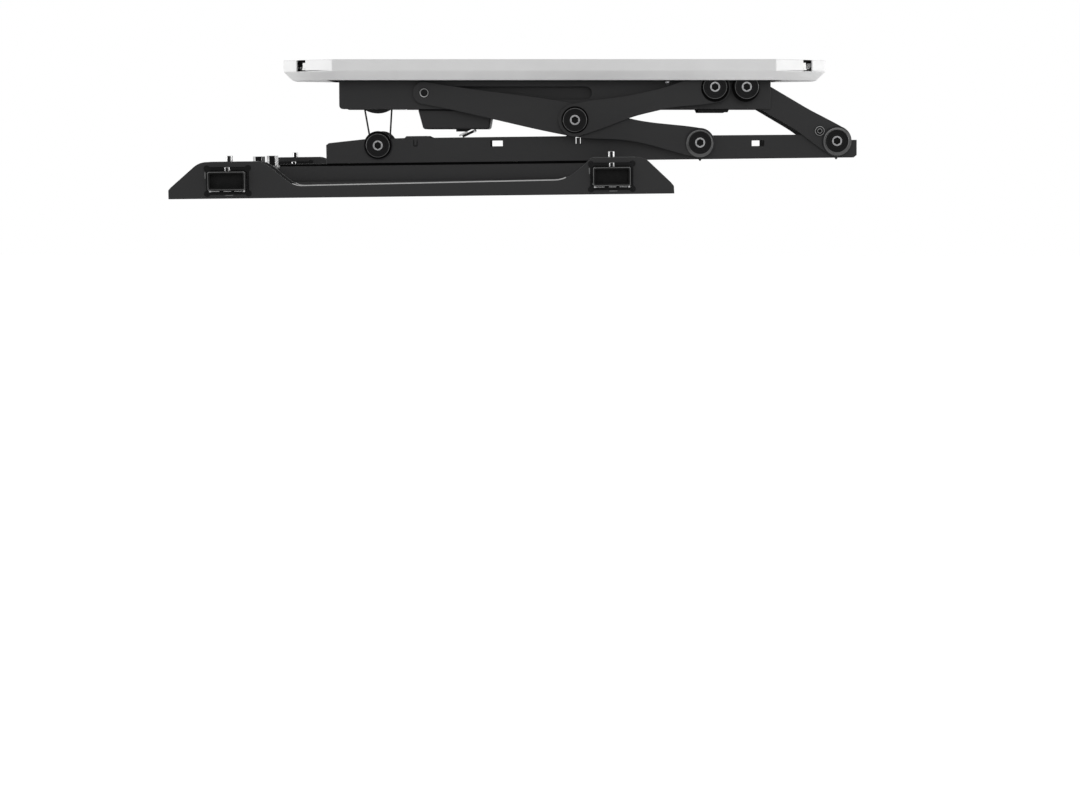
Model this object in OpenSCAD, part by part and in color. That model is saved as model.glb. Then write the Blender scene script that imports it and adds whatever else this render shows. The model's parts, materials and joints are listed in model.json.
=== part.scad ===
// Motorised fold-down ceiling mount for a flat screen, drawn folded up against the ceiling.
// X runs along the mount, Y across it and Z up. The origin is the centre of the ceiling face.
// Side profiles are drawn in X and Z and extruded across Y.

/* [Cover] */
// Length of the cover along the mount
cover_l = 597; // [590:1:615]
// Width of the cover across the mount
cover_w = 144; // [142:1:156]
// Depth of the cover below the ceiling
cover_h = 22.3; // [21:0.1:24]
// Height of the cover's upright edge above its bevel
cover_edge_h = 12.5; // [12:0.5:14]
// Wall of the cover
cover_wall = 2; // [1.6:0.1:2.4]
// Length of each corner cut along the mount
corner_cut_x = 58; // [54:1:62]
// Length of each corner cut across the mount
corner_cut_y = 47; // [44:1:50]
// Width of each fixing notch in the corner cuts
notch_w = 13; // [11:0.5:15]
// Height of each fixing notch
notch_h = 11.5; // [9:0.5:12]

/* [Ceiling plate and rails] */
// Thickness of the ceiling plate
plate_t = 3; // [2.5:0.5:3.5]
// Gap between the edge of the ceiling plate and the cover's wall
plate_gap = 2.5; // [2:0.1:3]
// Spacing of the joists that the slots are made for
joist_pitch = 406.4; // [400:0.1:412]
// Spacing of the joist slots across the mount
slot_pitch_y = 48; // [44:1:52]
// Length of each joist slot
joist_slot_l = 28; // [24:1:32]
// Width of each joist slot
joist_slot_w = 8.5; // [7:0.5:9]
// Length of the rails under the plate
rail_l = 472.6; // [468:0.1:478]
// Depth of the rails' lower edge below the ceiling
rail_drop = 53.4; // [52:0.1:56]
// Inner distance between the two rails
rail_gap = 82; // [80:1:86]
// Thickness of the rails
rail_t = 2.5; // [2:0.5:3]
// Width of the rails' flanges
rail_flange = 8; // [6:0.5:8]

/* [Linkage] */
// Distance of the long arm's fixed pivot from the middle of the mount
root_x = 175.5; // [174:0.5:177]
// Depth of both fixed pivots below the ceiling
root_drop = 29.5; // [29:0.1:31]
// Distance between the two fixed pivots
root_pitch = 34.5; // [34:0.1:36]
// Depth of the guide slot's centre line
slot_drop = 35.8; // [35:0.1:37]
// Folded place of the guide shoe
shoe_x = -142; // [-143:0.5:-141]
// Travel of the guide shoe
shoe_travel = 175; // [170:1:176]
// Height of the guide slot
slot_h = 13.7; // [13:0.1:15]
// Long arm, from its fixed pivot to the knee
arm_a_l = 156.7; // [156:0.1:157.5]
// Cross arm, from the guide shoe to the knee
arm_b_tail = 167.6; // [167:0.1:168.5]
// Cross arm, from the knee to the elbow
arm_b_head = 139; // [138:0.1:140]
// Rear arm, from its fixed pivot to the tail axle
arm_c_l = 116; // [115.5:0.1:116.5]
// Swing frame, from the elbow to the tail axle
frame_head = 150.3; // [149.5:0.1:151]
// Thickness of the two outer pairs of arms
arm_t = 3.5; // [3:0.5:4]
// Thickness of the rear arms
arm_c_t = 4; // [3:0.5:4]
// Radius of the axles
axle_r = 6; // [5:0.5:7]
// Radial running clearance of the axles
axle_fit = 0.05; // [0.03:0.01:0.08]
// Radius of the round axle caps
cap_r = 13.1; // [12:0.1:13.5]
// Thickness of the axle caps
cap_t = 4; // [3.5:0.1:4.3]
// Radius of the wide washers behind some caps
washer_r = 15.8; // [15:0.1:16]

/* [Swing frame] */
// Swing frame, from the elbow to its left end
frame_tail_l = 411; // [408:1:414]
// Swing frame, from the elbow to its right end
frame_nose_l = 173; // [171:0.5:176]
// Height of the swing frame's sides above the axles
frame_up = 8.8; // [8.5:0.1:9.5]
// Depth of the swing frame below the axles
frame_down = 18.3; // [18:0.1:19]
// Thickness of the swing frame
frame_t = 2.5; // [2:0.5:3]
// Distance from the elbow to the rope pulley
pulley_l = 353.6; // [352:0.1:356]
// Radius of the pulley's groove
groove_r = 9.4; // [9:0.1:10]
// Outer radius of the pulley
pulley_r = 13.5; // [12.5:0.1:14]

/* [Carriage and screen brackets] */
// Distance from the elbow to the left cross tube
tube_left_l = 482; // [480:1:484]
// Distance from the elbow to the right cross tube
tube_right_l = 101; // [99:1:103]
// Width of the cross tubes
tube_w = 38; // [36:0.5:38]
// Height of the cross tubes
tube_h = 19.2; // [18:0.1:19.5]
// Wall of the cross tubes
tube_t = 2; // [1.5:0.1:2.5]
// Length of the cross tubes across the mount
tube_l = 652; // [648:1:660]
// Gap between the swing frame and the carriage
carriage_gap = 2.7; // [2.4:0.1:3]
// Travel of the carriage along the swing frame
carriage_travel = 105; // [95:1:108]
// Spacing of the two screen brackets
bracket_pitch = 600; // [590:1:604]
// Width of each screen bracket
bracket_w = 35; // [32:1:38]
// Length of each screen bracket
bracket_l = 502; // [500:1:506]
// Thickness of the screen brackets
bracket_t = 2.5; // [2:0.5:3]
// Height of the slim middle of the screen brackets
bracket_rail_h = 11.6; // [11:0.1:13]
// Depth of the screen face below the axles
screen_face_down = 49.2; // [49:0.1:50]
// Height of the raised ends of the screen brackets
bracket_h = 36.4; // [36:0.1:37]
// Spacing of the screen's screw holes along each bracket
screen_hole_pitch = 400; // [396:1:402]
// Radius of the screen's screw holes
screen_hole_r = 4.25; // [3.5:0.05:4.5]

/* [Winch] */
// Place of the drum along the mount
drum_x = -196.4; // [-198:0.1:-195]
// Depth of the drum's axis
drum_drop = 31; // [30.8:0.1:32]
// Radius of the drum's flanges
drum_r = 26.8; // [25:0.1:27]
// Radius of the drum's bare core
core_r = 12; // [11:0.5:13]
// Radius at which the rope leaves the full drum
wound_r = 17; // [16:0.1:18]
// Radius of the rope
rope_r = 1; // [0.8:0.1:1.1]
// Radius of the gear motor
motor_r = 16.5; // [15:0.5:16.5]
// Length of the gear motor
motor_l = 62; // [58:1:64]
// Depth of the motor housing's floor below the ceiling
housing_drop = 74.1; // [73:0.1:74.5]
// Wall of the motor housing
housing_wall = 2; // [1.5:0.1:2.2]

/* [Hidden] */
$fn = 64;
eps = 0.01;

// Layers across the mount, from the swing frame out to the caps, each a distance from the middle
layer_gap = 1.5;
thin_gap = 1;
face_gap = 0.3;
rail_in = rail_gap / 2;
rail_out = rail_in + rail_t;
arm_b_in = rail_out + layer_gap;
arm_b_out = arm_b_in + arm_t;
arm_a_in = arm_b_out + layer_gap;
arm_a_out = arm_a_in + arm_t;
cap_in = arm_a_out + 0.5;
cap_out = cap_in + cap_t;
arm_c_out = rail_in - thin_gap;
arm_c_in = arm_c_out - arm_c_t;
frame_out = arm_c_in - thin_gap;
frame_in = frame_out - frame_t;

// Meeting point of a circle about p and a circle about q, on the side given by 1 or -1
function meet(p, rp, q, rq, side) =
    let (d = q - p, l = norm(d), a = (rp * rp - rq * rq + l * l) / (2 * l), u = d / l)
    p + a * u + side * sqrt(rp * rp - a * a) * [-u[1], u[0]];
function unit(v) = v / norm(v);
function heading(v) = atan2(v[1], v[0]);
function turned(v, a) = [v[0] * cos(a) - v[1] * sin(a), v[0] * sin(a) + v[1] * cos(a)];

// Pivots of the folded linkage, as points in X and Z
root = [root_x, -root_drop];
rear = root + [root_pitch, 0];
shoe = [shoe_x, -slot_drop];
knee = meet(shoe, arm_b_tail, root, arm_a_l, -1);
elbow = knee + arm_b_head * unit(knee - shoe);
tail = meet(rear, arm_c_l, elbow, frame_head, 1);
frame_tilt = heading(tail - elbow);
function on_frame(u, v) = elbow + turned([u, v], frame_tilt);
pulley_rise = 1;
pulley = on_frame(-pulley_l, pulley_rise);
drum = [drum_x, -drum_drop];

// Rope: one run from its anchor and one from the drum, both down to the pulley's groove
anchor_offset = [-16.5, -13.2];
anchor = drum + anchor_offset;
anchor_pin_r = 3;
rope_y = 3.5;
rope_end_l = 3;
rope_line_r = groove_r + rope_r + 0.05;
function side_of(v, side) = side * [-v[1], v[0]];
// Point where a straight rope from p, a circle of radius rp, meets the circle about q
function rope_start(p, rp, q, rq, side) =
    let (u = unit(q - p), s = (rp - rq) / norm(q - p))
    p + rp * (s * u + sqrt(1 - s * s) * side_of(u, side));
function rope_stop(p, rp, q, rq, side) =
    let (u = unit(q - p), s = (rp - rq) / norm(q - p))
    q + rq * (s * u + sqrt(1 - s * s) * side_of(u, side));
anchor_end = rope_stop(anchor, 0, pulley, rope_line_r, -1);
anchor_run = [anchor + (anchor_pin_r + 0.02) * unit(anchor_end - anchor), anchor_end];
drum_run = [
    rope_start(drum, wound_r, pulley, rope_line_r, 1),
    rope_stop(drum, wound_r, pulley, rope_line_r, 1)];

// Cover and ceiling plate
bevel_in = cover_h - cover_edge_h;
plate_in = cover_wall + plate_gap;
cover_open_y = cap_out + 1.5;
cover_open_gap = 12;
cover_open_edge = 1.5;
rail_x = 0.7;
rail_x0 = rail_x - rail_l / 2;
rail_x1 = rail_x + rail_l / 2;
end_hole_x = 262;
joist_x = [-end_hole_x, -end_hole_x + joist_pitch];
cable_hole_r = 14;

// Cross sections of the carriage, as heights measured from the line of the axles
tube_round = 3;
tube_top = -(frame_down + carriage_gap) - 1;
tube_mid = tube_top - tube_h / 2;
carriage_top = -(frame_down + carriage_gap);
carriage_t = 2;
carriage_half = 36;
carriage_low = -40;
carriage_lip = 8;
bracket_top = bracket_h - screen_face_down;
bracket_reach = 59.2;
bracket_x0 = -(tube_left_l + bracket_reach);
bracket_x1 = bracket_x0 + bracket_l;
collar_w = tube_w + 3.8;
collar_h = tube_h + 7.2;
slide_fit = 0.15;
seat_fit = 0.05;
stud_y = 18;
stud_x = [-395, -210];
stud_stem_r = 4;
screen_hole_x = -530;

// Helpers

// A profile in X and Z, extruded across Y from y0 to y1
module across(y0, y1) {
    translate([0, y1, 0]) rotate([90, 0, 0]) linear_extrude(y1 - y0) children();
}

// A profile in Y and Z, extruded along X from x0 to x1
module along(x0, x1) {
    translate([x0, 0, 0]) rotate([90, 0, 90]) linear_extrude(x1 - x0) children();
}

// A round bar across Y, about a point in X and Z
module bar(p, r, y0, y1) {
    translate([p[0], y0, p[1]]) rotate([-90, 0, 0]) cylinder(r = r, h = y1 - y0);
}

// A block between two corners
module block(low, high) {
    translate(low) cube(high - low);
}

// The near and the far copy of a piece that is drawn on the far side
module both_sides() {
    children();
    mirror([0, 1, 0]) children();
}

module near_side() {
    mirror([0, 1, 0]) children();
}

// The tilted axes of the folded swing frame, with their origin at the elbow
module frame_axes() {
    translate([elbow[0], 0, elbow[1]]) rotate([0, -frame_tilt, 0]) children();
}

// A rectangle with round corners, about the origin
module round_box(w, h, r) {
    square([w - 2 * r, h], center = true);
    square([w, h - 2 * r], center = true);
    for (x = [-1, 1], y = [-1, 1])
        translate([x * (w / 2 - r), y * (h / 2 - r)]) circle(r, $fn = 32);
}

// A slot with round ends, along X about the origin
module round_slot(l, w) {
    square([l - w, w], center = true);
    for (x = [-1, 1]) translate([x * (l - w) / 2, 0]) circle(w / 2, $fn = 32);
}

// A straight round rod between two points in X and Z, at one y
module rod_between(p, q, r, y) {
    translate([p[0], y, p[1]]) rotate([0, 90 - heading(q - p), 0])
        cylinder(r = r, h = norm(q - p), $fn = 16);
}

// Half width of an arm at share t of its length, full at both ends and slim between
arm_steps = 24;
function fade(s) = s >= 1 ? 0 : (1 + cos(180 * s)) / 2;
function waist(t, r0, w, r1, b0, b1) = w + (r0 - w) * fade(t / b0) + (r1 - w) * fade((1 - t) / b1);

// Flanks of an arm from the origin to (l, 0): end radii, upper and lower waist, length of each flare.
// They start a little inside the round ends, so that they cross the circles cleanly.
flank_in = 0.25;
module arm_flanks(l, r0, up, low, r1, b0, b1) {
    polygon([
        for (i = [0:arm_steps]) let (t = i / arm_steps)
            [l * t, waist(t, r0 - flank_in, up, r1 - flank_in, b0, b1)],
        for (i = [arm_steps:-1:0]) let (t = i / arm_steps)
            [l * t, -waist(t, r0 - flank_in, low, r1 - flank_in, b0, b1)]]);
}

// An arm between two pivots, with round ends of their own radii and the flanks given as children
module arm_plate(p, r0, q, r1, y0, y1) {
    bar(p, r0, y0, y1);
    bar(q, r1, y0, y1);
    across(y0, y1) laid(p, q) children();
}

// A 2D child laid from one pivot towards another
module laid(p, q) {
    translate(p) rotate(heading(q - p)) children();
}

// A round cap with a rim, a recessed face and a hub with a six-sided socket, facing outwards in Y
cap_rim = 2.2;
cap_recess = 0.8;
cap_edge = 1;
cap_hub_r = 5.2;
socket_r = 3;
socket_deep = 2.5;
module axle_cap(p, y0) {
    translate([p[0], y0, p[1]]) rotate([-90, 0, 0]) difference() {
        rotate_extrude() polygon([
            [0, 0], [cap_r, 0], [cap_r, cap_t - cap_edge], [cap_r - cap_edge, cap_t],
            [cap_r - cap_rim, cap_t], [cap_r - cap_rim, cap_t - cap_recess],
            [cap_hub_r, cap_t - cap_recess], [cap_hub_r, cap_t], [0, cap_t]]);
        translate([0, 0, cap_t - socket_deep]) cylinder(r = socket_r, h = socket_deep + 1, $fn = 6);
    }
}

// Cover

// Plan of the cover, an oblong with cut corners, drawn in by a distance
module cover_plan(inset) {
    x = cover_l / 2;
    y = cover_w / 2;
    k = norm([corner_cut_x, corner_cut_y]);
    end_y = y - corner_cut_y - inset * (k - corner_cut_y) / corner_cut_x;
    side_x = x - corner_cut_x - inset * (k - corner_cut_x) / corner_cut_y;
    polygon([
        [x - inset, end_y], [side_x, y - inset], [-side_x, y - inset], [inset - x, end_y],
        [inset - x, -end_y], [-side_x, inset - y], [side_x, inset - y], [x - inset, -end_y]]);
}

// The cover's outside, or its inside with the wall and the floor taken off
module cover_form(wall, top, floor) {
    knee_z = -cover_edge_h + wall * (sqrt(2) - 1);
    low_z = -cover_h + floor;
    translate([0, 0, knee_z]) linear_extrude(top - knee_z) cover_plan(wall);
    hull() {
        translate([0, 0, knee_z]) linear_extrude(eps) cover_plan(wall);
        translate([0, 0, low_z]) linear_extrude(eps) cover_plan(wall + knee_z - low_z);
    }
}

// Axes of the four corner faces: origin on the face at a share of its length, +X outwards
notch_share = 0.36;
module corner_faces() {
    for (x = [0, 1], y = [0, 1])
        mirror([x, 0, 0]) mirror([0, y, 0])
            translate([
                cover_l / 2 - notch_share * corner_cut_x,
                cover_w / 2 - (1 - notch_share) * corner_cut_y, 0])
                rotate([0, 0, atan2(corner_cut_x, corner_cut_y)]) children();
}

module cover_shell() color("gainsboro") difference() {
    cover_form(0, 0, 0);
    cover_form(cover_wall, 1, cover_wall);
    intersection() {
        block([rail_x0 - cover_open_gap, -cover_open_y, -cover_h - 1],
            [rail_x1 + cover_open_gap, cover_open_y, 0]);
        translate([0, 0, -cover_h - 1]) linear_extrude(cover_h + 1)
            cover_plan(cover_h - cover_edge_h + cover_open_edge);
    }
    corner_faces() block([-2 * cover_wall, -notch_w / 2, -notch_h], [1, notch_w / 2, 1]);
}

// Each notch has a catch plate at its back and, at the inner side, the hook that holds the cover to it
catch_t = 1.2;
hook_w = 4.4;
hook_h = 8;
hook_t = 2;
clip_fit = 0.3;
module cover_clips() color("white") corner_faces() {
    inner_y = notch_w / 2 - clip_fit;
    low_z = clip_fit - notch_h;
    block([-plate_in, -notch_w / 2, -notch_h - clip_fit], [catch_t - plate_in, notch_w / 2, 0]);
    block([catch_t - plate_in, inner_y - hook_w, low_z], [catch_t + hook_t - plate_in, inner_y, low_z + hook_h]);
    block([catch_t + hook_t - plate_in - eps, inner_y - hook_w, low_z], [-0.5, inner_y, low_z + hook_t]);
}

// Ceiling plate and rails

eye_window = [2, 32];
module ceiling_plate() color([0.13, 0.13, 0.14]) difference() {
    translate([0, 0, -plate_t]) linear_extrude(plate_t) difference() {
        cover_plan(plate_in + 0.02);
        for (x = joist_x, y = [-1, 1])
            translate([x, y * slot_pitch_y / 2]) round_slot(joist_slot_l, joist_slot_w);
    }
    for (y = [-1, 1])
        translate([end_hole_x, y * slot_pitch_y / 2, -plate_t - 1])
            cylinder(r = joist_slot_w / 2, h = plate_t + 2);
    translate([box_x + box_l / 2, 0, -plate_t - 1]) cylinder(r = cable_hole_r, h = plate_t + 2);
    both_sides()
        block([rear[0] + eye_window[0], arm_c_in - thin_gap, -plate_t - 1],
            [rear[0] + eye_window[1], arm_c_out + thin_gap, 1]);
}

// The outline of a rail seen from the side, with a small round lower left corner
rail_round = 4;
module rail_outline() {
    difference() {
        translate([rail_x0, -rail_drop]) square([rail_l, rail_drop - plate_t]);
        translate([rail_x0 - 1, -rail_drop - 1]) square([rail_round + 1, rail_round + 1]);
    }
    translate([rail_x0 + rail_round, -rail_drop + rail_round]) circle(rail_round);
}

flange_end_x = rear[0] - 16;
slot_run = shoe_travel + 3;
slot_mid_x = shoe_x - 1.5 + slot_run / 2;

// Plate behind each guide slot, hung from the ceiling plate, that keeps wiring off the guide shoe
guard_t = 2;
guard_past = 5;
guard_rise = 4;
module slot_guard() {
    reach = (slot_run + slot_h) / 2 + guard_past;
    block([slot_mid_x - reach, rail_in - rail_flange, -rail_drop + rail_t + guard_rise],
        [slot_mid_x + reach, rail_in - rail_flange + guard_t, -plate_t]);
}

module base_rail() color([0.1, 0.1, 0.11]) {
    slot_guard();
    rail();
}
module rail() difference() {
    union() {
        across(rail_in, rail_out) rail_outline();
        block([rail_x0, rail_in, -plate_t - rail_t], [rail_x1, rail_out + rail_flange, -plate_t]);
        block([rail_x0 + rail_round, rail_in - rail_flange, -rail_drop],
            [flange_end_x, rail_out, -rail_drop + rail_t]);
    }
    across(rail_in - 1, rail_out + 1)
        translate([slot_mid_x, -slot_drop]) round_slot(slot_run + slot_h, slot_h);
    bar(root, axle_r + axle_fit, rail_in - 1, rail_out + 1);
    bar(rear, axle_r + axle_fit, rail_in - 1, rail_out + 1);
}
module base_rail_near() near_side() base_rail();
module base_rail_far() base_rail();

// Long cross axle through both rails, with a collar between each rail and the long arm
collar_r = 11;
module root_axle() color("dimgray") {
    bar(root, axle_r, -cap_in, cap_in);
    both_sides() difference() {
        bar(root, collar_r, rail_out + face_gap, arm_a_in - face_gap);
        bar(root, axle_r, rail_out, arm_a_in);
    }
}
module root_caps() color([0.08, 0.08, 0.08]) both_sides() axle_cap(root, cap_in);

// Short studs that carry the rear arms' outer caps
module rear_pivot_studs() color([0.08, 0.08, 0.08]) both_sides() {
    bar(rear, axle_r, rail_in - 0.5, rail_out);
    bar(rear, collar_r, rail_out, cap_in);
    axle_cap(rear, cap_in);
}

bumper_x = [158, 192];
bumper_h = 3.5;
bumper_slope = 1.6;
module rail_bumpers() color([0.05, 0.05, 0.05]) both_sides()
    across(rail_in - rail_flange + 0.5, rail_in) translate([0, -rail_drop]) polygon([
        [bumper_x[0], 0], [bumper_x[1], 0],
        [bumper_x[1] - bumper_slope, -bumper_h], [bumper_x[0] + bumper_slope, -bumper_h]]);

// Winch: two side plates, the drum on its shaft, and the worm gearbox

winch_near_y = -16;
winch_far_y = 6;
winch_t = 2.5;
winch_left = 28;
winch_right = 28;
winch_foot = 12;
winch_lift = 3;
shaft_r = 5;
module winch_plate(y0, foot0, foot1) color([0.3, 0.3, 0.32]) {
    difference() {
        block([drum_x - winch_left, y0, -rail_drop + winch_lift],
            [drum_x + winch_right, y0 + winch_t, -plate_t]);
        bar(drum, shaft_r + axle_fit, y0 - 1, y0 + winch_t + 1);
        bar(anchor, anchor_pin_r + seat_fit, y0 - 1, y0 + winch_t + 1);
    }
    block([drum_x - winch_left, foot0, -plate_t - winch_t], [drum_x + winch_right, foot1, -plate_t]);
}
module winch_plate_near() winch_plate(winch_near_y, winch_near_y - winch_foot, winch_near_y + eps);
module winch_plate_far()
    winch_plate(winch_far_y, winch_far_y + winch_t - eps, winch_far_y + winch_t + winch_foot);

module rope_anchor() color("silver") {
    bar(anchor, anchor_pin_r, rope_y - rope_r, winch_far_y + winch_t);
}

drum_y = [-10, 1.5];
drum_flange_t = 1.5;
module winch_drum() color([0.16, 0.16, 0.17]) difference() {
    union() {
        bar(drum, drum_r, drum_y[0], drum_y[0] + drum_flange_t);
        bar(drum, core_r, drum_y[0], drum_y[1]);
        bar(drum, drum_r, drum_y[1] - drum_flange_t, drum_y[1]);
    }
    bar(drum, shaft_r, drum_y[0] - 1, drum_y[1] + 1);
}

module rope_winding() color([0.2, 0.2, 0.2]) difference() {
    bar(drum, wound_r - rope_r, drum_y[0] + drum_flange_t, drum_y[1] - drum_flange_t);
    bar(drum, core_r, drum_y[0], drum_y[1]);
}

wheel_y = 16;
wheel_w = 8;
wheel_r = 12;
wheel_root = 10;
wheel_teeth = 24;
worm_r = 4;
worm_drop = drum_drop + wheel_r + worm_r + face_gap;
worm_half = 9;
worm_shaft_r = 2.5;
module drum_shaft() color("silver")
    bar(drum, shaft_r, winch_near_y - 2, wheel_y + wheel_w / 2 + 2);

// Outline of the worm wheel, each tooth a root edge and a tip edge
tooth_pitch = 360 / wheel_teeth;
module worm_wheel() color([0.72, 0.6, 0.32]) across(wheel_y - wheel_w / 2, wheel_y + wheel_w / 2)
    translate(drum) difference() {
        polygon([for (i = [0:wheel_teeth - 1], q = [[0.1, 0], [0.35, 1], [0.65, 1], [0.9, 0]])
            let (a = (i + q[0]) * tooth_pitch, r = q[1] > 0 ? wheel_r : wheel_root)
            [r * cos(a), r * sin(a)]]);
        circle(shaft_r);
    }

worm_pitch = 3;
worm_turns = 2;
module worm_shaft() color("silver") translate([0, wheel_y, -worm_drop]) rotate([0, 90, 0]) {
    translate([0, 0, drum_x - worm_half]) cylinder(r = worm_shaft_r, h = motor_x0 - drum_x + worm_half);
    for (i = [-worm_turns:worm_turns])
        translate([0, 0, drum_x + i * worm_pitch]) rotate_extrude()
            polygon([[worm_shaft_r - eps, -1.2], [worm_r, -0.5], [worm_r, 0.5],
                [worm_shaft_r - eps, 1.2]]);
}

gearbox_y = [winch_far_y + winch_t, 28];
gearbox_x = [drum_x - 14.5, drum_x + 31];
gearbox_wall = 1.8;
gearbox_top = -drum_drop + wheel_r + 1 + gearbox_wall;
module gearbox_housing() color([0.45, 0.45, 0.47]) difference() {
    block([gearbox_x[0], gearbox_y[0], -rail_drop], [gearbox_x[1], gearbox_y[1], gearbox_top]);
    block([gearbox_x[0] + gearbox_wall, gearbox_y[0] + gearbox_wall, -rail_drop + gearbox_wall],
        [gearbox_x[1] - gearbox_wall, gearbox_y[1] - gearbox_wall, gearbox_top - gearbox_wall]);
    bar(drum, shaft_r + 0.4, gearbox_y[0] - 1, wheel_y);
    translate([drum_x, wheel_y, -worm_drop]) rotate([0, 90, 0])
        cylinder(r = worm_shaft_r + axle_fit, h = 60);
}

motor_x0 = drum_x + 55.9;
motor_bracket_t = 2.5;
module motor_bracket() color([0.3, 0.3, 0.32]) difference() {
    block([motor_x0 - motor_bracket_t, wheel_y - motor_r, -worm_drop - motor_r + 1],
        [motor_x0, wheel_y + motor_r, -plate_t]);
    translate([motor_x0 - 5, wheel_y, -worm_drop]) rotate([0, 90, 0]) cylinder(r = 4, h = 10);
}
motor_end_l = 8;
module gear_motor() color([0.55, 0.55, 0.57])
    translate([motor_x0, wheel_y, -worm_drop]) rotate([0, 90, 0]) {
        cylinder(r = motor_r, h = motor_l - motor_end_l);
        translate([0, 0, motor_l - motor_end_l]) cylinder(r = motor_r - 3, h = motor_end_l);
    }

// Tapered housing under the rails, open at its top
housing_half = 36;
housing_x0 = drum_x + 46.6;
housing_l = 81.4;
housing_low = [6, 2.8];
housing_straight = 6;
module housing_side(wall) {
    x0 = housing_x0 + wall;
    x1 = housing_x0 + housing_l - wall;
    top = -rail_drop + wall / 10;
    polygon([
        [x0, top], [x0 + housing_low[0], -housing_drop + wall],
        [x1 - housing_low[1], -housing_drop + wall], [x1, -rail_drop - housing_straight], [x1, top]]);
}
module motor_housing() color([0.12, 0.12, 0.13]) difference() {
    across(-housing_half, housing_half) housing_side(0);
    across(-housing_half + housing_wall, housing_half - housing_wall) housing_side(housing_wall);
}

// Limit switch inside the near side of the swing frame, its lever's tip on that side's top edge
switch_x = [housing_x0 + 41.9, housing_x0 + 59.3];
switch_h = 3.8;
switch_y = -27.5;
switch_half = 3;
switch_ear_t = 1.2;
lever_pin = [switch_x[1] + 3, -housing_drop - 3.5];
lever_pin_r = 0.7;
lever_tip_r = 1.2;
lever_t = 0.7;
lever_w = 3;
lever_tip_u = -260.8;
lever_tip = on_frame(lever_tip_u, frame_up + lever_tip_r + face_gap);
module limit_switch() color([0.07, 0.07, 0.08]) difference() {
    union() {
        block([switch_x[0], switch_y - switch_half, -housing_drop - switch_h],
            [switch_x[1], switch_y + switch_half, -housing_drop]);
        for (y = [switch_y - switch_half, switch_y + switch_half - switch_ear_t])
            block([switch_x[1] - 1, y, lever_pin[1] - 2 * lever_pin_r],
                [lever_pin[0] + 1.6, y + switch_ear_t, -housing_drop]);
    }
    bar(lever_pin, lever_pin_r + axle_fit, switch_y - switch_half - 1, switch_y + switch_half + 1);
}
module switch_lever() color("silver") {
    bar(lever_pin, lever_pin_r, switch_y - switch_half, switch_y + switch_half);
    bar(lever_pin, lever_pin_r + 0.4, switch_y - lever_w / 2, switch_y + lever_w / 2);
    across(switch_y - lever_w / 2, switch_y + lever_w / 2) laid(lever_pin, lever_tip)
        translate([0, -lever_t / 2]) square([norm(lever_tip - lever_pin), lever_t]);
    bar(lever_tip, lever_tip_r, -frame_out, switch_y + lever_w / 2);
}

// Controller in its box, the remote control's receiver and the power inlet
box_x = 60;
box_l = 65;
box_half = 28;
box_drop = 26;
box_wall = 2;
module control_box() color([0.15, 0.15, 0.16]) difference() {
    block([box_x, -box_half, -box_drop], [box_x + box_l, box_half, -plate_t]);
    block([box_x + box_wall, -box_half + box_wall, -box_drop + box_wall],
        [box_x + box_l - box_wall, box_half - box_wall, 0]);
}
sensor_r = 5;
sensor_h = 4;
module remote_sensor() color([0.25, 0.05, 0.05]) translate([box_x + box_l / 2, 0, -box_drop - sensor_h]) {
    cylinder(r = sensor_r, h = sensor_h);
    intersection() {
        sphere(r = sensor_r);
        translate([0, 0, -sensor_r]) cylinder(r = sensor_r, h = sensor_r + eps);
    }
}
inlet_at = [12, -14];
inlet_r = [5.5, 3];
inlet_l = 9;
module power_inlet() color("black")
    translate([box_x + box_l, inlet_at[0], inlet_at[1]]) rotate([0, 90, 0]) difference() {
        cylinder(r = inlet_r[0], h = inlet_l);
        translate([0, 0, 2]) cylinder(r = inlet_r[1], h = inlet_l);
    }

// Guide shoes in the rails' slots, each with a flange inside the rail
shoe_fit = 0.35;
shoe_flange_r = 9;
shoe_flange_t = 2;
shoe_stand = 1.1;
module guide_shoes() color([0.75, 0.75, 0.72]) both_sides() {
    bar(shoe, slot_h / 2 - shoe_fit, rail_in - face_gap, rail_out + face_gap);
    bar(shoe, shoe_flange_r, rail_in - shoe_flange_t, rail_in - face_gap);
    bar(shoe, slot_h / 2 - 2, rail_out, rail_out + shoe_stand);
}

// Arms

knee_r = 18;
root_r = 17;
arm_a_up = 12;
arm_a_low = 10.5;
module long_arm() color([0.11, 0.11, 0.12]) difference() {
    arm_plate(knee, knee_r, root, root_r, arm_a_in, arm_a_out)
        arm_flanks(arm_a_l, knee_r, arm_a_up, arm_a_low, root_r, 0.5, 0.4);
    bar(knee, axle_r + axle_fit, arm_a_in - 1, arm_a_out + 1);
    bar(root, axle_r + axle_fit, arm_a_in - 1, arm_a_out + 1);
}
module long_arm_near() near_side() long_arm();
module long_arm_far() long_arm();

shoe_end_r = 12.5;
rivet_r = 3.2;
rivet_head_r = 5.8;
rivet_head_h = 1.2;
elbow_r = 16;
cross_arm_up = 12;
cross_arm_low = 11.5;
cross_arm_flare = 0.5;
function cross_arm_side(i, slim) =
    let (t = i / arm_steps)
    t <= 1 ? [arm_b_tail * t, waist(t, shoe_end_r - flank_in, shoe_end_r - flank_in, knee_r, 1, 1)]
    : [arm_b_tail + arm_b_head * (t - 1),
        waist(t - 1, knee_r, slim, elbow_r - flank_in, cross_arm_flare, cross_arm_flare)];
module cross_arm_flanks() {
    polygon([
        for (i = [0:2 * arm_steps]) cross_arm_side(i, cross_arm_up),
        for (i = [2 * arm_steps:-1:0]) let (q = cross_arm_side(i, cross_arm_low)) [q[0], -q[1]]]);
}

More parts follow.
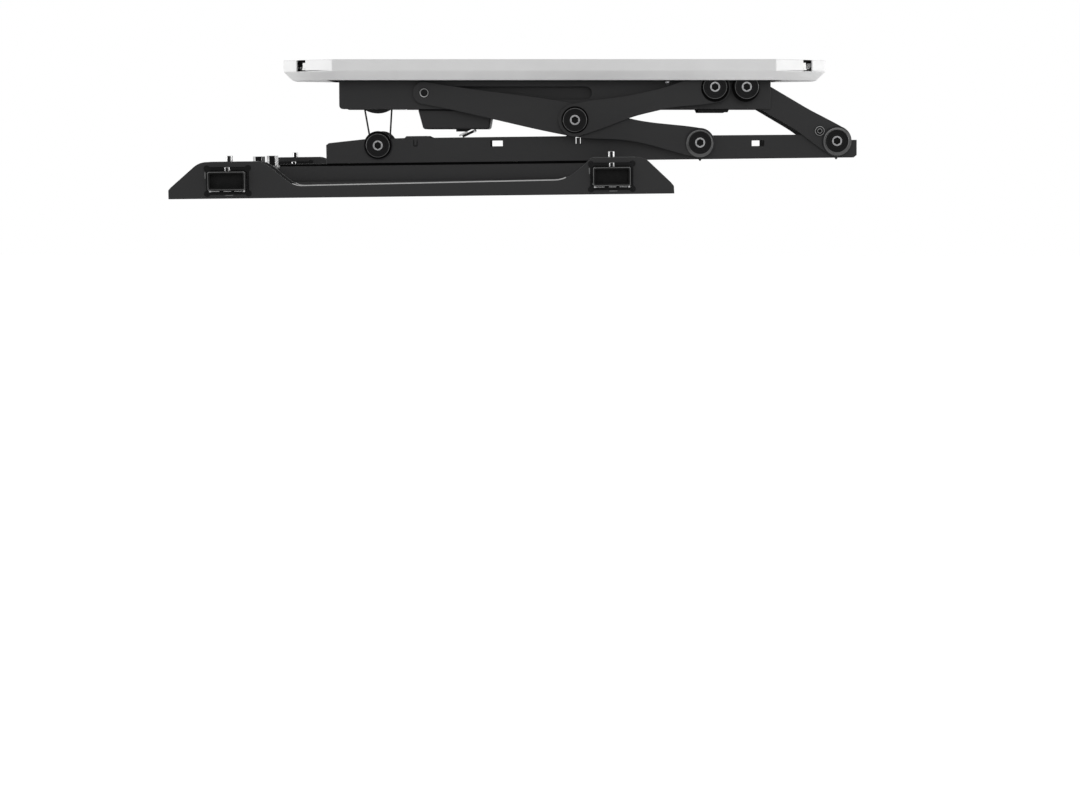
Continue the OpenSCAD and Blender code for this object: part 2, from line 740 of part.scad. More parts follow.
module cross_arm() color([0.13, 0.13, 0.14]) difference() {
    arm_plate(shoe, shoe_end_r, elbow, elbow_r, arm_b_in, arm_b_out) cross_arm_flanks();
    bar(knee, axle_r + axle_fit, arm_b_in - 1, arm_b_out + 1);
    bar(elbow, axle_r + axle_fit, arm_b_in - 1, arm_b_out + 1);
    bar(shoe, rivet_r, arm_b_in - 1, arm_b_out + 1);
}
module cross_arm_near() near_side() cross_arm();
module cross_arm_far() cross_arm();
module slide_end_rivets() color("silver") both_sides() difference() {
    union() {
        bar(shoe, rivet_r, arm_b_in, arm_b_out);
        bar(shoe, rivet_head_r, arm_b_out, arm_b_out + rivet_head_h);
    }
    bar(shoe, rivet_r - face_gap, arm_b_out + face_gap, arm_b_out + rivet_head_h + 1);
}

module knee_axle() color("dimgray") {
    bar(knee, axle_r, -cap_in, cap_in);
    both_sides() difference() {
        union() {
            bar(knee, collar_r, arm_b_out + face_gap, arm_a_in - face_gap);
            bar(knee, axle_r + 2, arm_b_in - 2.5, arm_b_in - face_gap);
        }
        bar(knee, axle_r, 0, arm_a_in);
    }
}
module knee_caps() color([0.08, 0.08, 0.08]) both_sides() axle_cap(knee, cap_in);

rear_r = 11;
tail_r = 16.5;
arm_c_up = 14.2;
arm_c_low = 12.3;
rear_bolt_r = 2.5;
rear_bolt_head_r = 5.4;
rear_bolt_head_h = 0.7;
rear_bolt_back = 21.6;
rear_bolt = rear + turned([arm_c_l - rear_bolt_back, 1], heading(tail - rear));
module rear_arm() color([0.11, 0.11, 0.12]) difference() {
    arm_plate(rear, rear_r, tail, tail_r, arm_c_in, arm_c_out)
        arm_flanks(arm_c_l, rear_r, arm_c_up, arm_c_low, tail_r, 0.2, 0.45);
    bar(tail, axle_r + axle_fit, arm_c_in - 1, arm_c_out + 1);
    bar(rear, axle_r, arm_c_in - 1, arm_c_out + 1);
    bar(rear_bolt, rear_bolt_r, arm_c_in - 1, arm_c_out + 1);
}
module rear_arm_near() near_side() rear_arm();
module rear_arm_far() rear_arm();
module rear_arm_tie() color("dimgray") {
    bar(rear, axle_r, -arm_c_out, arm_c_out);
    both_sides() difference() {
        bar(rear, axle_r + 2, arm_c_in - 3, arm_c_in);
        bar(rear, axle_r, 0, arm_c_out);
    }
}
module rear_arm_bolts() color("silver") both_sides() difference() {
    union() {
        bar(rear_bolt, rear_bolt_r, arm_c_in, arm_c_out);
        bar(rear_bolt, rear_bolt_head_r, arm_c_out, arm_c_out + rear_bolt_head_h);
    }
    bar(rear_bolt, rear_bolt_r - 0.5, arm_c_out - 1, arm_c_out + rear_bolt_head_h + 1);
}

// Swing frame, in its own axes with the elbow at the origin

bump_r = 15.7;
window = [13.6, 6.3];
frame_windows = [[-223, 1.6], [64.5, -1.6]];
frame_tab = [-frame_tail_l + 98.6, 3];
frame_notch = [-133, 4];
tab_size = [4.4, 6.8];
notch_size = [5.6, 7.6];
tab_line = 0.8;
nose_step = [128, 150];
nose_low = 7.8;
nose_round = 3.5;
rest_tips = [2.5, 154];
rest_tip_h = 2.2;
module frame_side_outline() {
    polygon([
        [-frame_tail_l, -frame_down], [-frame_tail_l, 2], [3 - frame_tail_l, 4.2],
        [-pulley_l - bump_r, 8], [frame_tab[0] - 12, frame_up], [frame_tab[0] - 10, frame_up + 2],
        [frame_tab[0] + 12.7, frame_up + 2], [frame_tab[0] + 17, frame_up],
        [frame_notch[0] - 14, frame_up], [frame_notch[0] - 11, frame_up + 1.6],
        [frame_notch[0] + 13, frame_up + 1.6], [frame_notch[0] + 16, frame_up - 0.4],
        [nose_step[0] - 18, frame_up - 1.5], [nose_step[0], frame_up - 1.5],
        [nose_step[1], frame_up - nose_low], [frame_nose_l, frame_up - nose_low],
        [frame_nose_l, nose_round - 0.9 - frame_down], [frame_nose_l - nose_round, -frame_down]]);
    intersection() {
        translate([-pulley_l, pulley_rise]) circle(bump_r);
        translate([-pulley_l - bump_r, -frame_down])
            square([2 * bump_r, frame_down + pulley_rise + bump_r]);
    }
}

// A pressed tab left standing in a three-sided cut
module tab_cut(w, h, line) {
    difference() {
        square([w, h], center = true);
        translate([0, -line]) square([w - 2 * line, h], center = true);
    }
}

module frame_side() across(frame_in, frame_out) difference() {
    frame_side_outline();
    for (p = frame_windows) translate(p) square(window, center = true);
    translate(frame_tab) mirror([0, 1]) tab_cut(tab_size[0], tab_size[1], tab_line);
    translate(frame_notch) tab_cut(notch_size[0], notch_size[1], tab_line);
    for (x = [0, frame_head]) translate([x, 0]) circle(axle_r + axle_fit);
    translate([-pulley_l, pulley_rise]) circle(axle_r + axle_fit);
}

stud_slot_w = 2 * stud_stem_r + 0.6;
module swing_frame() color([0.14, 0.14, 0.15]) frame_axes() {
    both_sides() frame_side();
    for (x = rest_tips) translate([x, 0, -frame_down - rest_tip_h])
        cylinder(r1 = 0.5, r2 = 2, h = rest_tip_h + eps);
    translate([0, 0, -frame_down]) linear_extrude(frame_t) difference() {
        translate([-frame_tail_l, -frame_in - eps])
            square([frame_tail_l + frame_nose_l - nose_round, 2 * (frame_in + eps)]);
        for (x = stud_x, y = [-stud_y, stud_y])
            translate([x + carriage_travel / 2, y])
                round_slot(carriage_travel + stud_slot_w + 1, stud_slot_w);
    }
}

washer_t = 1.5;
module washer_ring(p, y0) difference() {
    bar(p, washer_r, y0, y0 + washer_t);
    bar(p, axle_r, y0 - 1, y0 + washer_t + 1);
}

// Elbow axle, with a spacer between the swing frame and the cross arm
elbow_cap_y = arm_b_out + face_gap + washer_t;
module elbow_axle() color("dimgray") {
    bar(elbow, axle_r, -elbow_cap_y, elbow_cap_y);
    both_sides() {
        difference() {
            bar(elbow, collar_r, frame_out, arm_b_in - face_gap);
            bar(elbow, axle_r, 0, arm_b_in);
        }
        washer_ring(elbow, arm_b_out + face_gap);
    }
}

tail_cap_y = arm_c_out + face_gap + washer_t;
module tail_axle() color("dimgray") {
    bar(tail, axle_r, -tail_cap_y, tail_cap_y);
    both_sides() {
        difference() {
            bar(tail, collar_r, frame_out, arm_c_in - face_gap);
            bar(tail, axle_r, 0, arm_c_in);
        }
        washer_ring(tail, arm_c_out + face_gap);
    }
}

pulley_cap_y = frame_out + washer_t;
pulley_half = 7;
module pulley_axle() color("dimgray") {
    bar(pulley, axle_r, -pulley_cap_y, pulley_cap_y);
    both_sides() {
        difference() {
            bar(pulley, axle_r + 3, pulley_half + face_gap, frame_in);
            bar(pulley, axle_r, 0, frame_in + 1);
        }
        washer_ring(pulley, frame_out);
    }
}

module frame_caps() color([0.08, 0.08, 0.08]) both_sides() {
    axle_cap(elbow, elbow_cap_y);
    axle_cap(tail, tail_cap_y);
    axle_cap(pulley, pulley_cap_y);
}

groove_half = 4.7;
module rope_pulley() color([0.2, 0.2, 0.2]) translate([pulley[0], 0, pulley[1]]) rotate([-90, 0, 0])
    rotate_extrude() polygon([
        [axle_r + axle_fit, -pulley_half], [pulley_r, -pulley_half], [pulley_r, -pulley_half + 0.7],
        [groove_r, -groove_half], [groove_r, groove_half], [pulley_r, pulley_half - 0.7],
        [pulley_r, pulley_half], [axle_r + axle_fit, pulley_half]]);

// Carriage and screen brackets, in the axes of the swing frame. Two channel ribs glide under the frame.

tube_x = [-tube_left_l, -tube_right_l];
glide_rib_y = 28;
glide_rib_w = 5;
module carriage_channel() color([0.1, 0.1, 0.11]) frame_axes()
    difference() {
        along(tube_x[0] + tube_w / 2, tube_x[1] - tube_w / 2) {
            translate([-carriage_half, carriage_top - carriage_t]) square([2 * carriage_half, carriage_t]);
            for (side = [0, 1]) mirror([side, 0]) {
                translate([glide_rib_y, carriage_top - eps])
                    square([glide_rib_w, carriage_gap - face_gap + eps]);
                translate([carriage_half - carriage_t, carriage_low])
                    square([carriage_t, carriage_top - carriage_low]);
                translate([carriage_half - carriage_t, carriage_low])
                    square([carriage_t + carriage_lip, carriage_t]);
            }
        }
        for (x = stud_x, y = [-stud_y, stud_y])
            translate([x, y, carriage_top - carriage_t - 1])
                cylinder(r = stud_stem_r + seat_fit, h = carriage_t + 2);
    }

stud_head_r = 7;
stud_glide_r = 9;
module carriage_studs() color("silver") frame_axes()
    for (x = stud_x, y = [-stud_y, stud_y]) translate([x, y, 0]) {
        translate([0, 0, carriage_top - carriage_t])
            cylinder(r = stud_stem_r, h = carriage_t + carriage_gap + frame_t + face_gap);
        difference() {
            union() {
                translate([0, 0, carriage_top]) cylinder(r = stud_glide_r, h = carriage_gap - face_gap);
                translate([0, 0, frame_t - frame_down + face_gap]) cylinder(r = stud_head_r, h = 3);
            }
            translate([0, 0, carriage_top - 1]) cylinder(r = stud_stem_r, h = carriage_gap + frame_t + 1);
        }
    }

nut_y = 62;
nut_r = 7.5;
nut_h = 6.5;
nut_washer_r = 9;
nut_washer_t = 1.6;
nut_bolt_r = 4;
module cross_tube(x) color([0.09, 0.09, 0.1]) frame_axes() difference() {
    across(-tube_l / 2, tube_l / 2) translate([x, tube_mid]) difference() {
        round_box(tube_w, tube_h, tube_round);
        round_box(tube_w - 2 * tube_t, tube_h - 2 * tube_t, tube_round - tube_t);
    }
    if (x == tube_x[0]) for (y = [-nut_y, nut_y])
        translate([x, y, tube_mid]) cylinder(r = nut_bolt_r + seat_fit, h = tube_h);
}
module cross_tube_left() cross_tube(tube_x[0]);
module cross_tube_right() cross_tube(tube_x[1]);

plug_l = 10;
plug_t = 2;
module tube_end_caps() color([0.04, 0.04, 0.04]) frame_axes() both_sides()
    for (x = tube_x) {
        across(tube_l / 2, tube_l / 2 + plug_t) translate([x, tube_mid])
            round_box(tube_w, tube_h, tube_round);
        across(tube_l / 2 - plug_l, tube_l / 2) translate([x, tube_mid])
            square([tube_w - 2 * tube_t - 1, tube_h - 2 * tube_t - 1], center = true);
    }

module tube_nuts() color("dimgray") frame_axes() both_sides() translate([tube_x[0], nut_y, tube_top]) {
    translate([0, 0, -tube_t]) cylinder(r = nut_bolt_r, h = tube_t + nut_washer_t + nut_h + 2.5);
    difference() {
        union() {
            cylinder(r = nut_washer_r, h = nut_washer_t);
            translate([0, 0, nut_washer_t]) cylinder(r = nut_r, h = nut_h, $fn = 6);
        }
        translate([0, 0, -1]) cylinder(r = nut_bolt_r, h = nut_h + nut_washer_t + 2);
    }
}

// Side outline of a screen bracket: a sloped end, a raised seat round each tube and a slim middle
curve_steps = 12;
seat_left = [-tube_left_l - 19.8, -tube_left_l + 28.6];
seat_right = [-tube_right_l - 19.4, -tube_right_l + 25];
rail_low_top = bracket_rail_h - screen_face_down;
curve_left_l = 44;
curve_right_l = 37;
rail_rise = 2.6;
left_tip_h = 8.9;
left_slope_l = 25.6;
left_shoulder = 5;
shoulder_l = 7;
right_shoulder = 4.8;
right_slope_h = 25.2;
right_tip_h = 7.6;
right_draft = 0.4;
corner_steps = 6;
function eased(a, b, c) = [for (i = [0:corner_steps]) let (t = i / corner_steps)
    (1 - t) * (1 - t) * a + 2 * t * (1 - t) * b + t * t * c];
module bracket_outline() {
    drop = bracket_top - rail_low_top;
    climb = bracket_top - rail_low_top - rail_rise;
    polygon(concat(
        [[bracket_x0, -screen_face_down], [bracket_x0, left_tip_h - screen_face_down],
            [bracket_x0 + 2.7, left_tip_h + 2.9 - screen_face_down]],
        eased([bracket_x0 + left_slope_l, bracket_top - left_shoulder],
            [seat_left[0] - shoulder_l - 1, bracket_top], [seat_left[0], bracket_top]),
        [for (i = [0:curve_steps]) let (t = i / curve_steps)
            [seat_left[1] + curve_left_l * t, bracket_top - drop * (1 - cos(180 * t)) / 2]],
        [for (i = [0:curve_steps]) let (t = i / curve_steps)
            [seat_right[0] - curve_right_l * (1 - t), bracket_top - climb * cos(90 * t)]],
        eased([seat_right[1], bracket_top], [seat_right[1] + shoulder_l, bracket_top],
            [seat_right[1] + shoulder_l + 5.2, bracket_top - right_shoulder]),
        [[bracket_x1 - 3.3, bracket_top - right_slope_h],
            [bracket_x1 - right_draft, right_tip_h - screen_face_down],
            [bracket_x1, -screen_face_down]]));
}

screen_slots = [-440, -390, -240, -190];
screen_slot = [28, 6.5];
clamp_r = 3.2;
clamp_fit = 0.05;
module bracket() color([0.12, 0.12, 0.13]) {
    half = bracket_w / 2;
    frame_axes() translate([0, bracket_pitch / 2, 0]) {
        for (y = [-half, half - bracket_t]) across(y, y + bracket_t) difference() {
            bracket_outline();
            for (x = tube_x) translate([x, tube_mid])
                square([collar_w + 2 * seat_fit, collar_h + 2 * seat_fit], center = true);
        }
        difference() {
            union() {
                block([bracket_x0, bracket_t - half - eps, -screen_face_down],
                    [bracket_x1 - right_draft, half - bracket_t + eps, bracket_t - screen_face_down]);
                for (seat = [seat_left, seat_right])
                    block([seat[0] + 1, bracket_t - half - eps, bracket_top - bracket_t],
                        [seat[1] - 1, half - bracket_t + eps, bracket_top]);
            }
            for (x = [screen_hole_x, screen_hole_x + screen_hole_pitch])
                translate([x, 0, -screen_face_down - 1]) cylinder(r = screen_hole_r, h = bracket_t + 2);
            for (x = screen_slots) translate([x, 0, -screen_face_down - 1]) linear_extrude(bracket_t + 2)
                round_slot(screen_slot[0], screen_slot[1]);
            for (x = tube_x) translate([x, 0, bracket_top - bracket_t - 1])
                cylinder(r = clamp_r + clamp_fit, h = bracket_t + 2);
        }
    }
}
module bracket_near() near_side() bracket();
module bracket_far() bracket();

collar_stand = 1.5;
module tube_collars() color([0.06, 0.06, 0.06]) frame_axes() translate([0, bracket_pitch / 2, 0])
    for (x = tube_x) difference() {
        across(-bracket_w / 2 - collar_stand, bracket_w / 2 + collar_stand)
            translate([x, tube_mid]) difference() {
                square([collar_w, collar_h], center = true);
                round_box(tube_w + 2 * slide_fit, tube_h + 2 * slide_fit, tube_round);
            }
        translate([x, 0, tube_mid]) cylinder(r = clamp_r + face_gap, h = tube_h);
    }
module tube_collars_near() near_side() tube_collars();
module tube_collars_far() tube_collars();

clamp_up = 5.8;
clamp_tip_gap = 0.1;
module clamp_screws() color("silver") frame_axes() translate([0, bracket_pitch / 2, 0])
    for (x = tube_x) translate([x, 0, tube_top + clamp_tip_gap])
        cylinder(r = clamp_r, h = bracket_top + clamp_up - tube_top - clamp_tip_gap);
module clamp_screws_near() near_side() clamp_screws();
module clamp_screws_far() clamp_screws();

// Rope: each run ends in a short piece that stays with the pulley
module rope_run(run, y) color([0.25, 0.25, 0.25])
    rod_between(run[0], run[1] - rope_end_l * unit(run[1] - run[0]), rope_r, y);
module rope_end(run, y) color([0.25, 0.25, 0.25])
    rod_between(run[1] - rope_end_l * unit(run[1] - run[0]), run[1], rope_r, y);
module rope_anchor_run() rope_run(anchor_run, rope_y);
module rope_anchor_end() rope_end(anchor_run, rope_y);
module rope_drum_run() rope_run(drum_run, -rope_y);
module rope_drum_end() rope_end(drum_run, -rope_y);

ceiling_plate();
cover_shell();
cover_clips();
base_rail_near();
base_rail_far();
root_axle();
root_caps();
rear_pivot_studs();
rail_bumpers();
winch_plate_near();
winch_plate_far();
rope_anchor();
gearbox_housing();
worm_shaft();
motor_bracket();
gear_motor();
motor_housing();
limit_switch();
control_box();
remote_sensor();
power_inlet();
guide_shoes();
long_arm_near();
long_arm_far();
knee_axle();
knee_caps();
cross_arm_near();
cross_arm_far();
slide_end_rivets();
rear_arm_near();
rear_arm_far();
rear_arm_tie();
rear_arm_bolts();
swing_frame();
elbow_axle();
tail_axle();
pulley_axle();
frame_caps();
rope_pulley();
switch_lever();
carriage_channel();
carriage_studs();
cross_tube_left();
cross_tube_right();
tube_end_caps();
tube_nuts();
bracket_near();
bracket_far();
tube_collars_near();
tube_collars_far();
clamp_screws_near();
clamp_screws_far();
winch_drum();
rope_winding();
drum_shaft();
worm_wheel();
rope_anchor_run();
rope_anchor_end();
rope_drum_run();
rope_drum_end();
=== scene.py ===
"""Looks of a motor-driven, fold-down ceiling mount for a flat screen, drawn folded up.

Metres, +X along the mount towards its hinges, +Y away from the camera, +Z up into the ceiling.
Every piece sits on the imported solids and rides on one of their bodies.
"""

import json
import math

import bpy
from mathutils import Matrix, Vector


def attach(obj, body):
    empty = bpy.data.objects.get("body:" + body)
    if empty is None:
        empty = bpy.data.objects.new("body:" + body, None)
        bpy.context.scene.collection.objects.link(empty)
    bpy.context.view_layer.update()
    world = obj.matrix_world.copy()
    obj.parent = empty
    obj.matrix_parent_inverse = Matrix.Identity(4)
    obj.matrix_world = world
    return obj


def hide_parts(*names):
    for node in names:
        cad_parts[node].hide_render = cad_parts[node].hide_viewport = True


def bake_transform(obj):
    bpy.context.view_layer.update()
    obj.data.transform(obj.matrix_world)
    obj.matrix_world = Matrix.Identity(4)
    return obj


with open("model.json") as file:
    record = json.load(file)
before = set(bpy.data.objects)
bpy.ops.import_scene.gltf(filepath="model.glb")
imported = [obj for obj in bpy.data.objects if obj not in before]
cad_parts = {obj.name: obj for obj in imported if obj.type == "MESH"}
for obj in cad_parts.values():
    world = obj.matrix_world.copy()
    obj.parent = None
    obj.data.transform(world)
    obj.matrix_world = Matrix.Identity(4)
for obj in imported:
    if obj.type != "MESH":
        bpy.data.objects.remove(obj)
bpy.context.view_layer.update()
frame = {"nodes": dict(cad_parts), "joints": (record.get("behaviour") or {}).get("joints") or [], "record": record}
nodes = frame["nodes"]
joints = {joint["name"]: joint for joint in frame["joints"]}
slot_of_node = {row["node"]: row["material_slot"] for row in frame["record"]["subparts"]}
body_of_node = {
    node: body
    for body, members in frame["record"]["behaviour"]["bodies"].items()
    for node in members
}

MM = 0.001
FINE_EDGE = 0.25 * MM
SHEET_EDGE = 0.4 * MM
MOULD_EDGE = 0.9 * MM
WELD_GAP = 0.002 * MM


# Camera

CAMERA_PLACE = (0.01932, -2.8028, -0.085385)
CAMERA_DIP = math.radians(6.0855)
CAMERA_TURN = math.radians(0.7189)
LENS = 83.35
SENSOR_W = 36


def add_camera():
    """The photograph's view, nearly square on to the near side and a little from above."""
    bpy.ops.object.camera_add(
        location=CAMERA_PLACE, rotation=(math.radians(90) - CAMERA_DIP, 0, CAMERA_TURN)
    )
    camera = bpy.context.object
    camera.name = "studio_camera"
    camera.data.lens = LENS
    camera.data.sensor_width = SENSOR_W
    bpy.context.scene.camera = camera


# Places on the mount

def pivot(joint):
    """A hinge's place as (x, z)."""
    place = joints[joint]["pos_m"]
    return place[0], place[2]


FIXED_PIVOT_GAP = 34.5 * MM
ROOT = pivot("fold")
REAR = (ROOT[0] + FIXED_PIVOT_GAP, ROOT[1])
KNEE = pivot("knee")
ELBOW = pivot("elbow")
TAIL = pivot("tail")
PULLEY = pivot("pulley_spin")
FRAME_TILT = math.atan2(TAIL[1] - ELBOW[1], TAIL[0] - ELBOW[0])


def on_frame(u, y, v):
    """A point given in millimetres from the elbow: along, across and up from the swing frame."""
    c, s = math.cos(FRAME_TILT), math.sin(FRAME_TILT)
    return Vector((
        ELBOW[0] + (u * c - v * s) * MM,
        y * MM,
        ELBOW[1] + (u * s + v * c) * MM,
    ))


FACING_FAR = (math.radians(-90), 0, 0)
FACING_NEAR = (math.radians(90), 0, 0)
ALONG_FRAME = (0, -FRAME_TILT, 0)


# Shader helpers

# Sockets of a Mix node that carry colours
COLOUR_A, COLOUR_B, MIXED_COLOUR = 6, 7, 2


def new_finish(name, colour, roughness, metallic=0.0, specular=0.5, coat=0.0):
    """A material with its shader's plain values set, and the tree and shader to add detail to."""
    material = bpy.data.materials.new(name)
    material.use_nodes = True
    tree = material.node_tree
    shader = tree.nodes["Principled BSDF"]
    shader.inputs["Base Color"].default_value = (*colour, 1)
    shader.inputs["Roughness"].default_value = roughness
    shader.inputs["Metallic"].default_value = metallic
    shader.inputs["Specular IOR Level"].default_value = specular
    shader.inputs["Coat Weight"].default_value = coat
    material.diffuse_color = (*colour, 1)
    return material, tree, shader


def object_coordinates(tree, scale=(1, 1, 1), centre=(0, 0, 0)):
    """The piece's own coordinates, moved so that centre is the origin and then scaled."""
    coordinates = tree.nodes.new("ShaderNodeTexCoord")
    moved = tree.nodes.new("ShaderNodeMapping")
    moved.inputs["Location"].default_value = [-c * s for c, s in zip(centre, scale)]
    moved.inputs["Scale"].default_value = scale
    tree.links.new(coordinates.outputs["Object"], moved.inputs["Vector"])
    return moved.outputs["Vector"]


def noise(tree, vector, size, detail=2.0, roughness=0.5):
    """Cloudy noise whose features are about size metres across."""
    texture = tree.nodes.new("ShaderNodeTexNoise")
    texture.inputs["Scale"].default_value = 1 / size
    texture.inputs["Detail"].default_value = detail
    texture.inputs["Roughness"].default_value = roughness
    tree.links.new(vector, texture.inputs["Vector"])
    return texture.outputs["Fac"]


def pebbles(tree, vector, size):
    """Rounded grains, as on spark-eroded moulds."""
    texture = tree.nodes.new("ShaderNodeTexVoronoi")
    texture.feature = "SMOOTH_F1"
    texture.inputs["Scale"].default_value = 1 / size
    tree.links.new(vector, texture.inputs["Vector"])
    return texture.outputs["Distance"]


def span(tree, value, low, high, low_in=0.3, high_in=0.7):
    """A pattern's value laid between low and high."""
    mapped = tree.nodes.new("ShaderNodeMapRange")
    mapped.inputs["From Min"].default_value = low_in
    mapped.inputs["From Max"].default_value = high_in
    mapped.inputs["To Min"].default_value = low
    mapped.inputs["To Max"].default_value = high
    tree.links.new(value, mapped.inputs["Value"])
    return mapped.outputs["Result"]


def tint(tree, shader, pattern, colour, dark, light, low_in=0.3, high_in=0.7):
    """Shades the colour by a pattern, from dark times as bright to light times as bright."""
    share = span(tree, pattern, 0, 1, low_in, high_in)
    mixed = tree.nodes.new("ShaderNodeMix")
    mixed.data_type = "RGBA"
    for socket, factor in ((COLOUR_A, dark), (COLOUR_B, light)):
        shade = [min(1.0, c * factor) for c in colour]
        mixed.inputs[socket].default_value = (*shade, 1)
    tree.links.new(share, mixed.inputs["Factor"])
    tree.links.new(mixed.outputs[MIXED_COLOUR], shader.inputs["Base Color"])


def vary_gloss(tree, shader, pattern, smooth_end, rough_end):
    """Varies the roughness by a pattern."""
    tree.links.new(span(tree, pattern, smooth_end, rough_end), shader.inputs["Roughness"])


def relief(tree, shader, pattern, depth):
    """Raises the surface by depth metres where the pattern is high, over any earlier relief."""
    bump = tree.nodes.new("ShaderNodeBump")
    bump.inputs["Distance"].default_value = depth
    bump.inputs["Strength"].default_value = 1
    tree.links.new(pattern, bump.inputs["Height"])
    earlier = shader.inputs["Normal"].links
    if earlier:
        tree.links.new(earlier[0].from_socket, bump.inputs["Normal"])
    tree.links.new(bump.outputs["Normal"], shader.inputs["Normal"])


# Finishes

def powder_coat(name, colour, roughness, specular, grain, peel):
    """Baked powder paint: slow orange peel, fine grain and a slightly uneven shade and gloss."""
    material, tree, shader = new_finish(name, colour, roughness, specular=specular)
    place = object_coordinates(tree)
    tint(tree, shader, noise(tree, place, 45 * MM, detail=3), colour, dark=0.97, light=1.03)
    speckle = noise(tree, place, 0.5 * MM, detail=3, roughness=0.6)
    vary_gloss(tree, shader, speckle, roughness - 0.06, roughness + 0.08)
    relief(tree, shader, noise(tree, place, 2.4 * MM, detail=1), peel)
    relief(tree, shader, speckle, grain)
    return material


def moulded_plastic(name, colour, roughness, specular):
    """Injection-moulded plastic with a spark-eroded grain and a faint flow pattern."""
    material, tree, shader = new_finish(name, colour, roughness, specular=specular)
    place = object_coordinates(tree)
    flow = noise(tree, object_coordinates(tree, scale=(0.5, 1, 2)), 22 * MM, detail=2)
    tint(tree, shader, flow, colour, dark=0.9, light=1.12)
    vary_gloss(tree, shader, flow, roughness - 0.05, roughness + 0.05)
    relief(tree, shader, pebbles(tree, place, 0.55 * MM), 0.02 * MM)
    return material


def soft_rubber(name, colour, specular):
    """Matt rubber with a bloom of paler dust."""
    material, tree, shader = new_finish(name, colour, 0.78, specular=specular)
    place = object_coordinates(tree)
    bloom = noise(tree, place, 6 * MM, detail=4, roughness=0.65)
    tint(tree, shader, bloom, colour, dark=1, light=1.8, low_in=0.4, high_in=0.75)
    relief(tree, shader, noise(tree, place, 0.7 * MM, detail=2), 0.04 * MM)
    return material


def plated_steel(name, colour, roughness):
    """Zinc-plated or oxide-blacked steel: blotchy gloss and hairline scuffs."""
    material, tree, shader = new_finish(name, colour, roughness, metallic=1.0)
    place = object_coordinates(tree)
    blotch = noise(tree, place, 3.5 * MM, detail=4, roughness=0.6)
    tint(tree, shader, blotch, colour, dark=0.82, light=1.15)
    vary_gloss(tree, shader, blotch, roughness - 0.08, roughness + 0.1)
    scuffs = noise(tree, object_coordinates(tree, scale=(9, 1, 5)), 1.6 * MM, detail=2)
    relief(tree, shader, scuffs, 0.015 * MM)
    return material


def turned_steel(name, colour, roughness, centre):
    """Lathe-turned steel with fine rings about an axis across the mount through centre."""
    material, tree, shader = new_finish(name, colour, roughness, metallic=1.0)
    place = object_coordinates(tree, centre=(centre[0], 0, centre[1]))
    rings = tree.nodes.new("ShaderNodeTexWave")
    rings.wave_type = "RINGS"
    rings.rings_direction = "Y"
    rings.inputs["Scale"].default_value = 900
    rings.inputs["Distortion"].default_value = 0.6
    tree.links.new(place, rings.inputs["Vector"])
    blotch = noise(tree, place, 4 * MM, detail=3)
    tint(tree, shader, blotch, colour, dark=0.85, light=1.15)
    vary_gloss(tree, shader, blotch, roughness - 0.06, roughness + 0.08)
    relief(tree, shader, rings.outputs["Fac"], 0.012 * MM)
    return material


def machined_metal(name, colour, roughness, direction, line):
    """Metal with straight machining lines across one direction, line metres apart."""
    material, tree, shader = new_finish(name, colour, roughness, metallic=1.0)
    place = object_coordinates(tree)
    lines = tree.nodes.new("ShaderNodeTexWave")
    lines.bands_direction = direction
    lines.inputs["Scale"].default_value = 0.3 / line
    lines.inputs["Distortion"].default_value = 1.2
    tree.links.new(place, lines.inputs["Vector"])
    blotch = noise(tree, place, 8 * MM, detail=3)
    tint(tree, shader, blotch, colour, dark=0.85, light=1.12)
    vary_gloss(tree, shader, blotch, roughness - 0.05, roughness + 0.1)
    relief(tree, shader, lines.outputs["Fac"], 0.01 * MM)
    return material


def natural_nylon(name, colour):
    """Translucent off-white nylon with a soft moulded surface."""
    material, tree, shader = new_finish(name, colour, 0.45, specular=0.45)
    shader.inputs["Subsurface Weight"].default_value = 0.15
    shader.inputs["Subsurface Radius"].default_value = (2 * MM, 1.5 * MM, 1 * MM)
    place = object_coordinates(tree)
    tint(tree, shader, noise(tree, place, 5 * MM, detail=3), colour, dark=0.93, light=1.04)
    relief(tree, shader, noise(tree, place, 0.6 * MM), 0.02 * MM)
    return material


def wire_rope_steel(name, colour):
    """Greased steel wire: dark between the strands, brighter where they rub."""
    material, tree, shader = new_finish(name, colour, 0.4, metallic=1.0)
    place = object_coordinates(tree)
    grease = noise(tree, place, 1.2 * MM, detail=4, roughness=0.7)
    tint(tree, shader, grease, colour, dark=0.5, light=1.4)
    vary_gloss(tree, shader, grease, 0.3, 0.55)
    relief(tree, shader, noise(tree, place, 0.3 * MM), 0.03 * MM)
    return material


def dark_lens(name, colour):
    """Glossy infrared window, nearly black with a red depth."""
    material, tree, shader = new_finish(name, colour, 0.08, coat=0.6)
    place = object_coordinates(tree)
    tint(tree, shader, noise(tree, place, 4 * MM, detail=3), colour, dark=0.8, light=1.3)
    relief(tree, shader, noise(tree, place, 1.5 * MM), 0.005 * MM)
    return material


def grey(level):
    return (level, level, level)


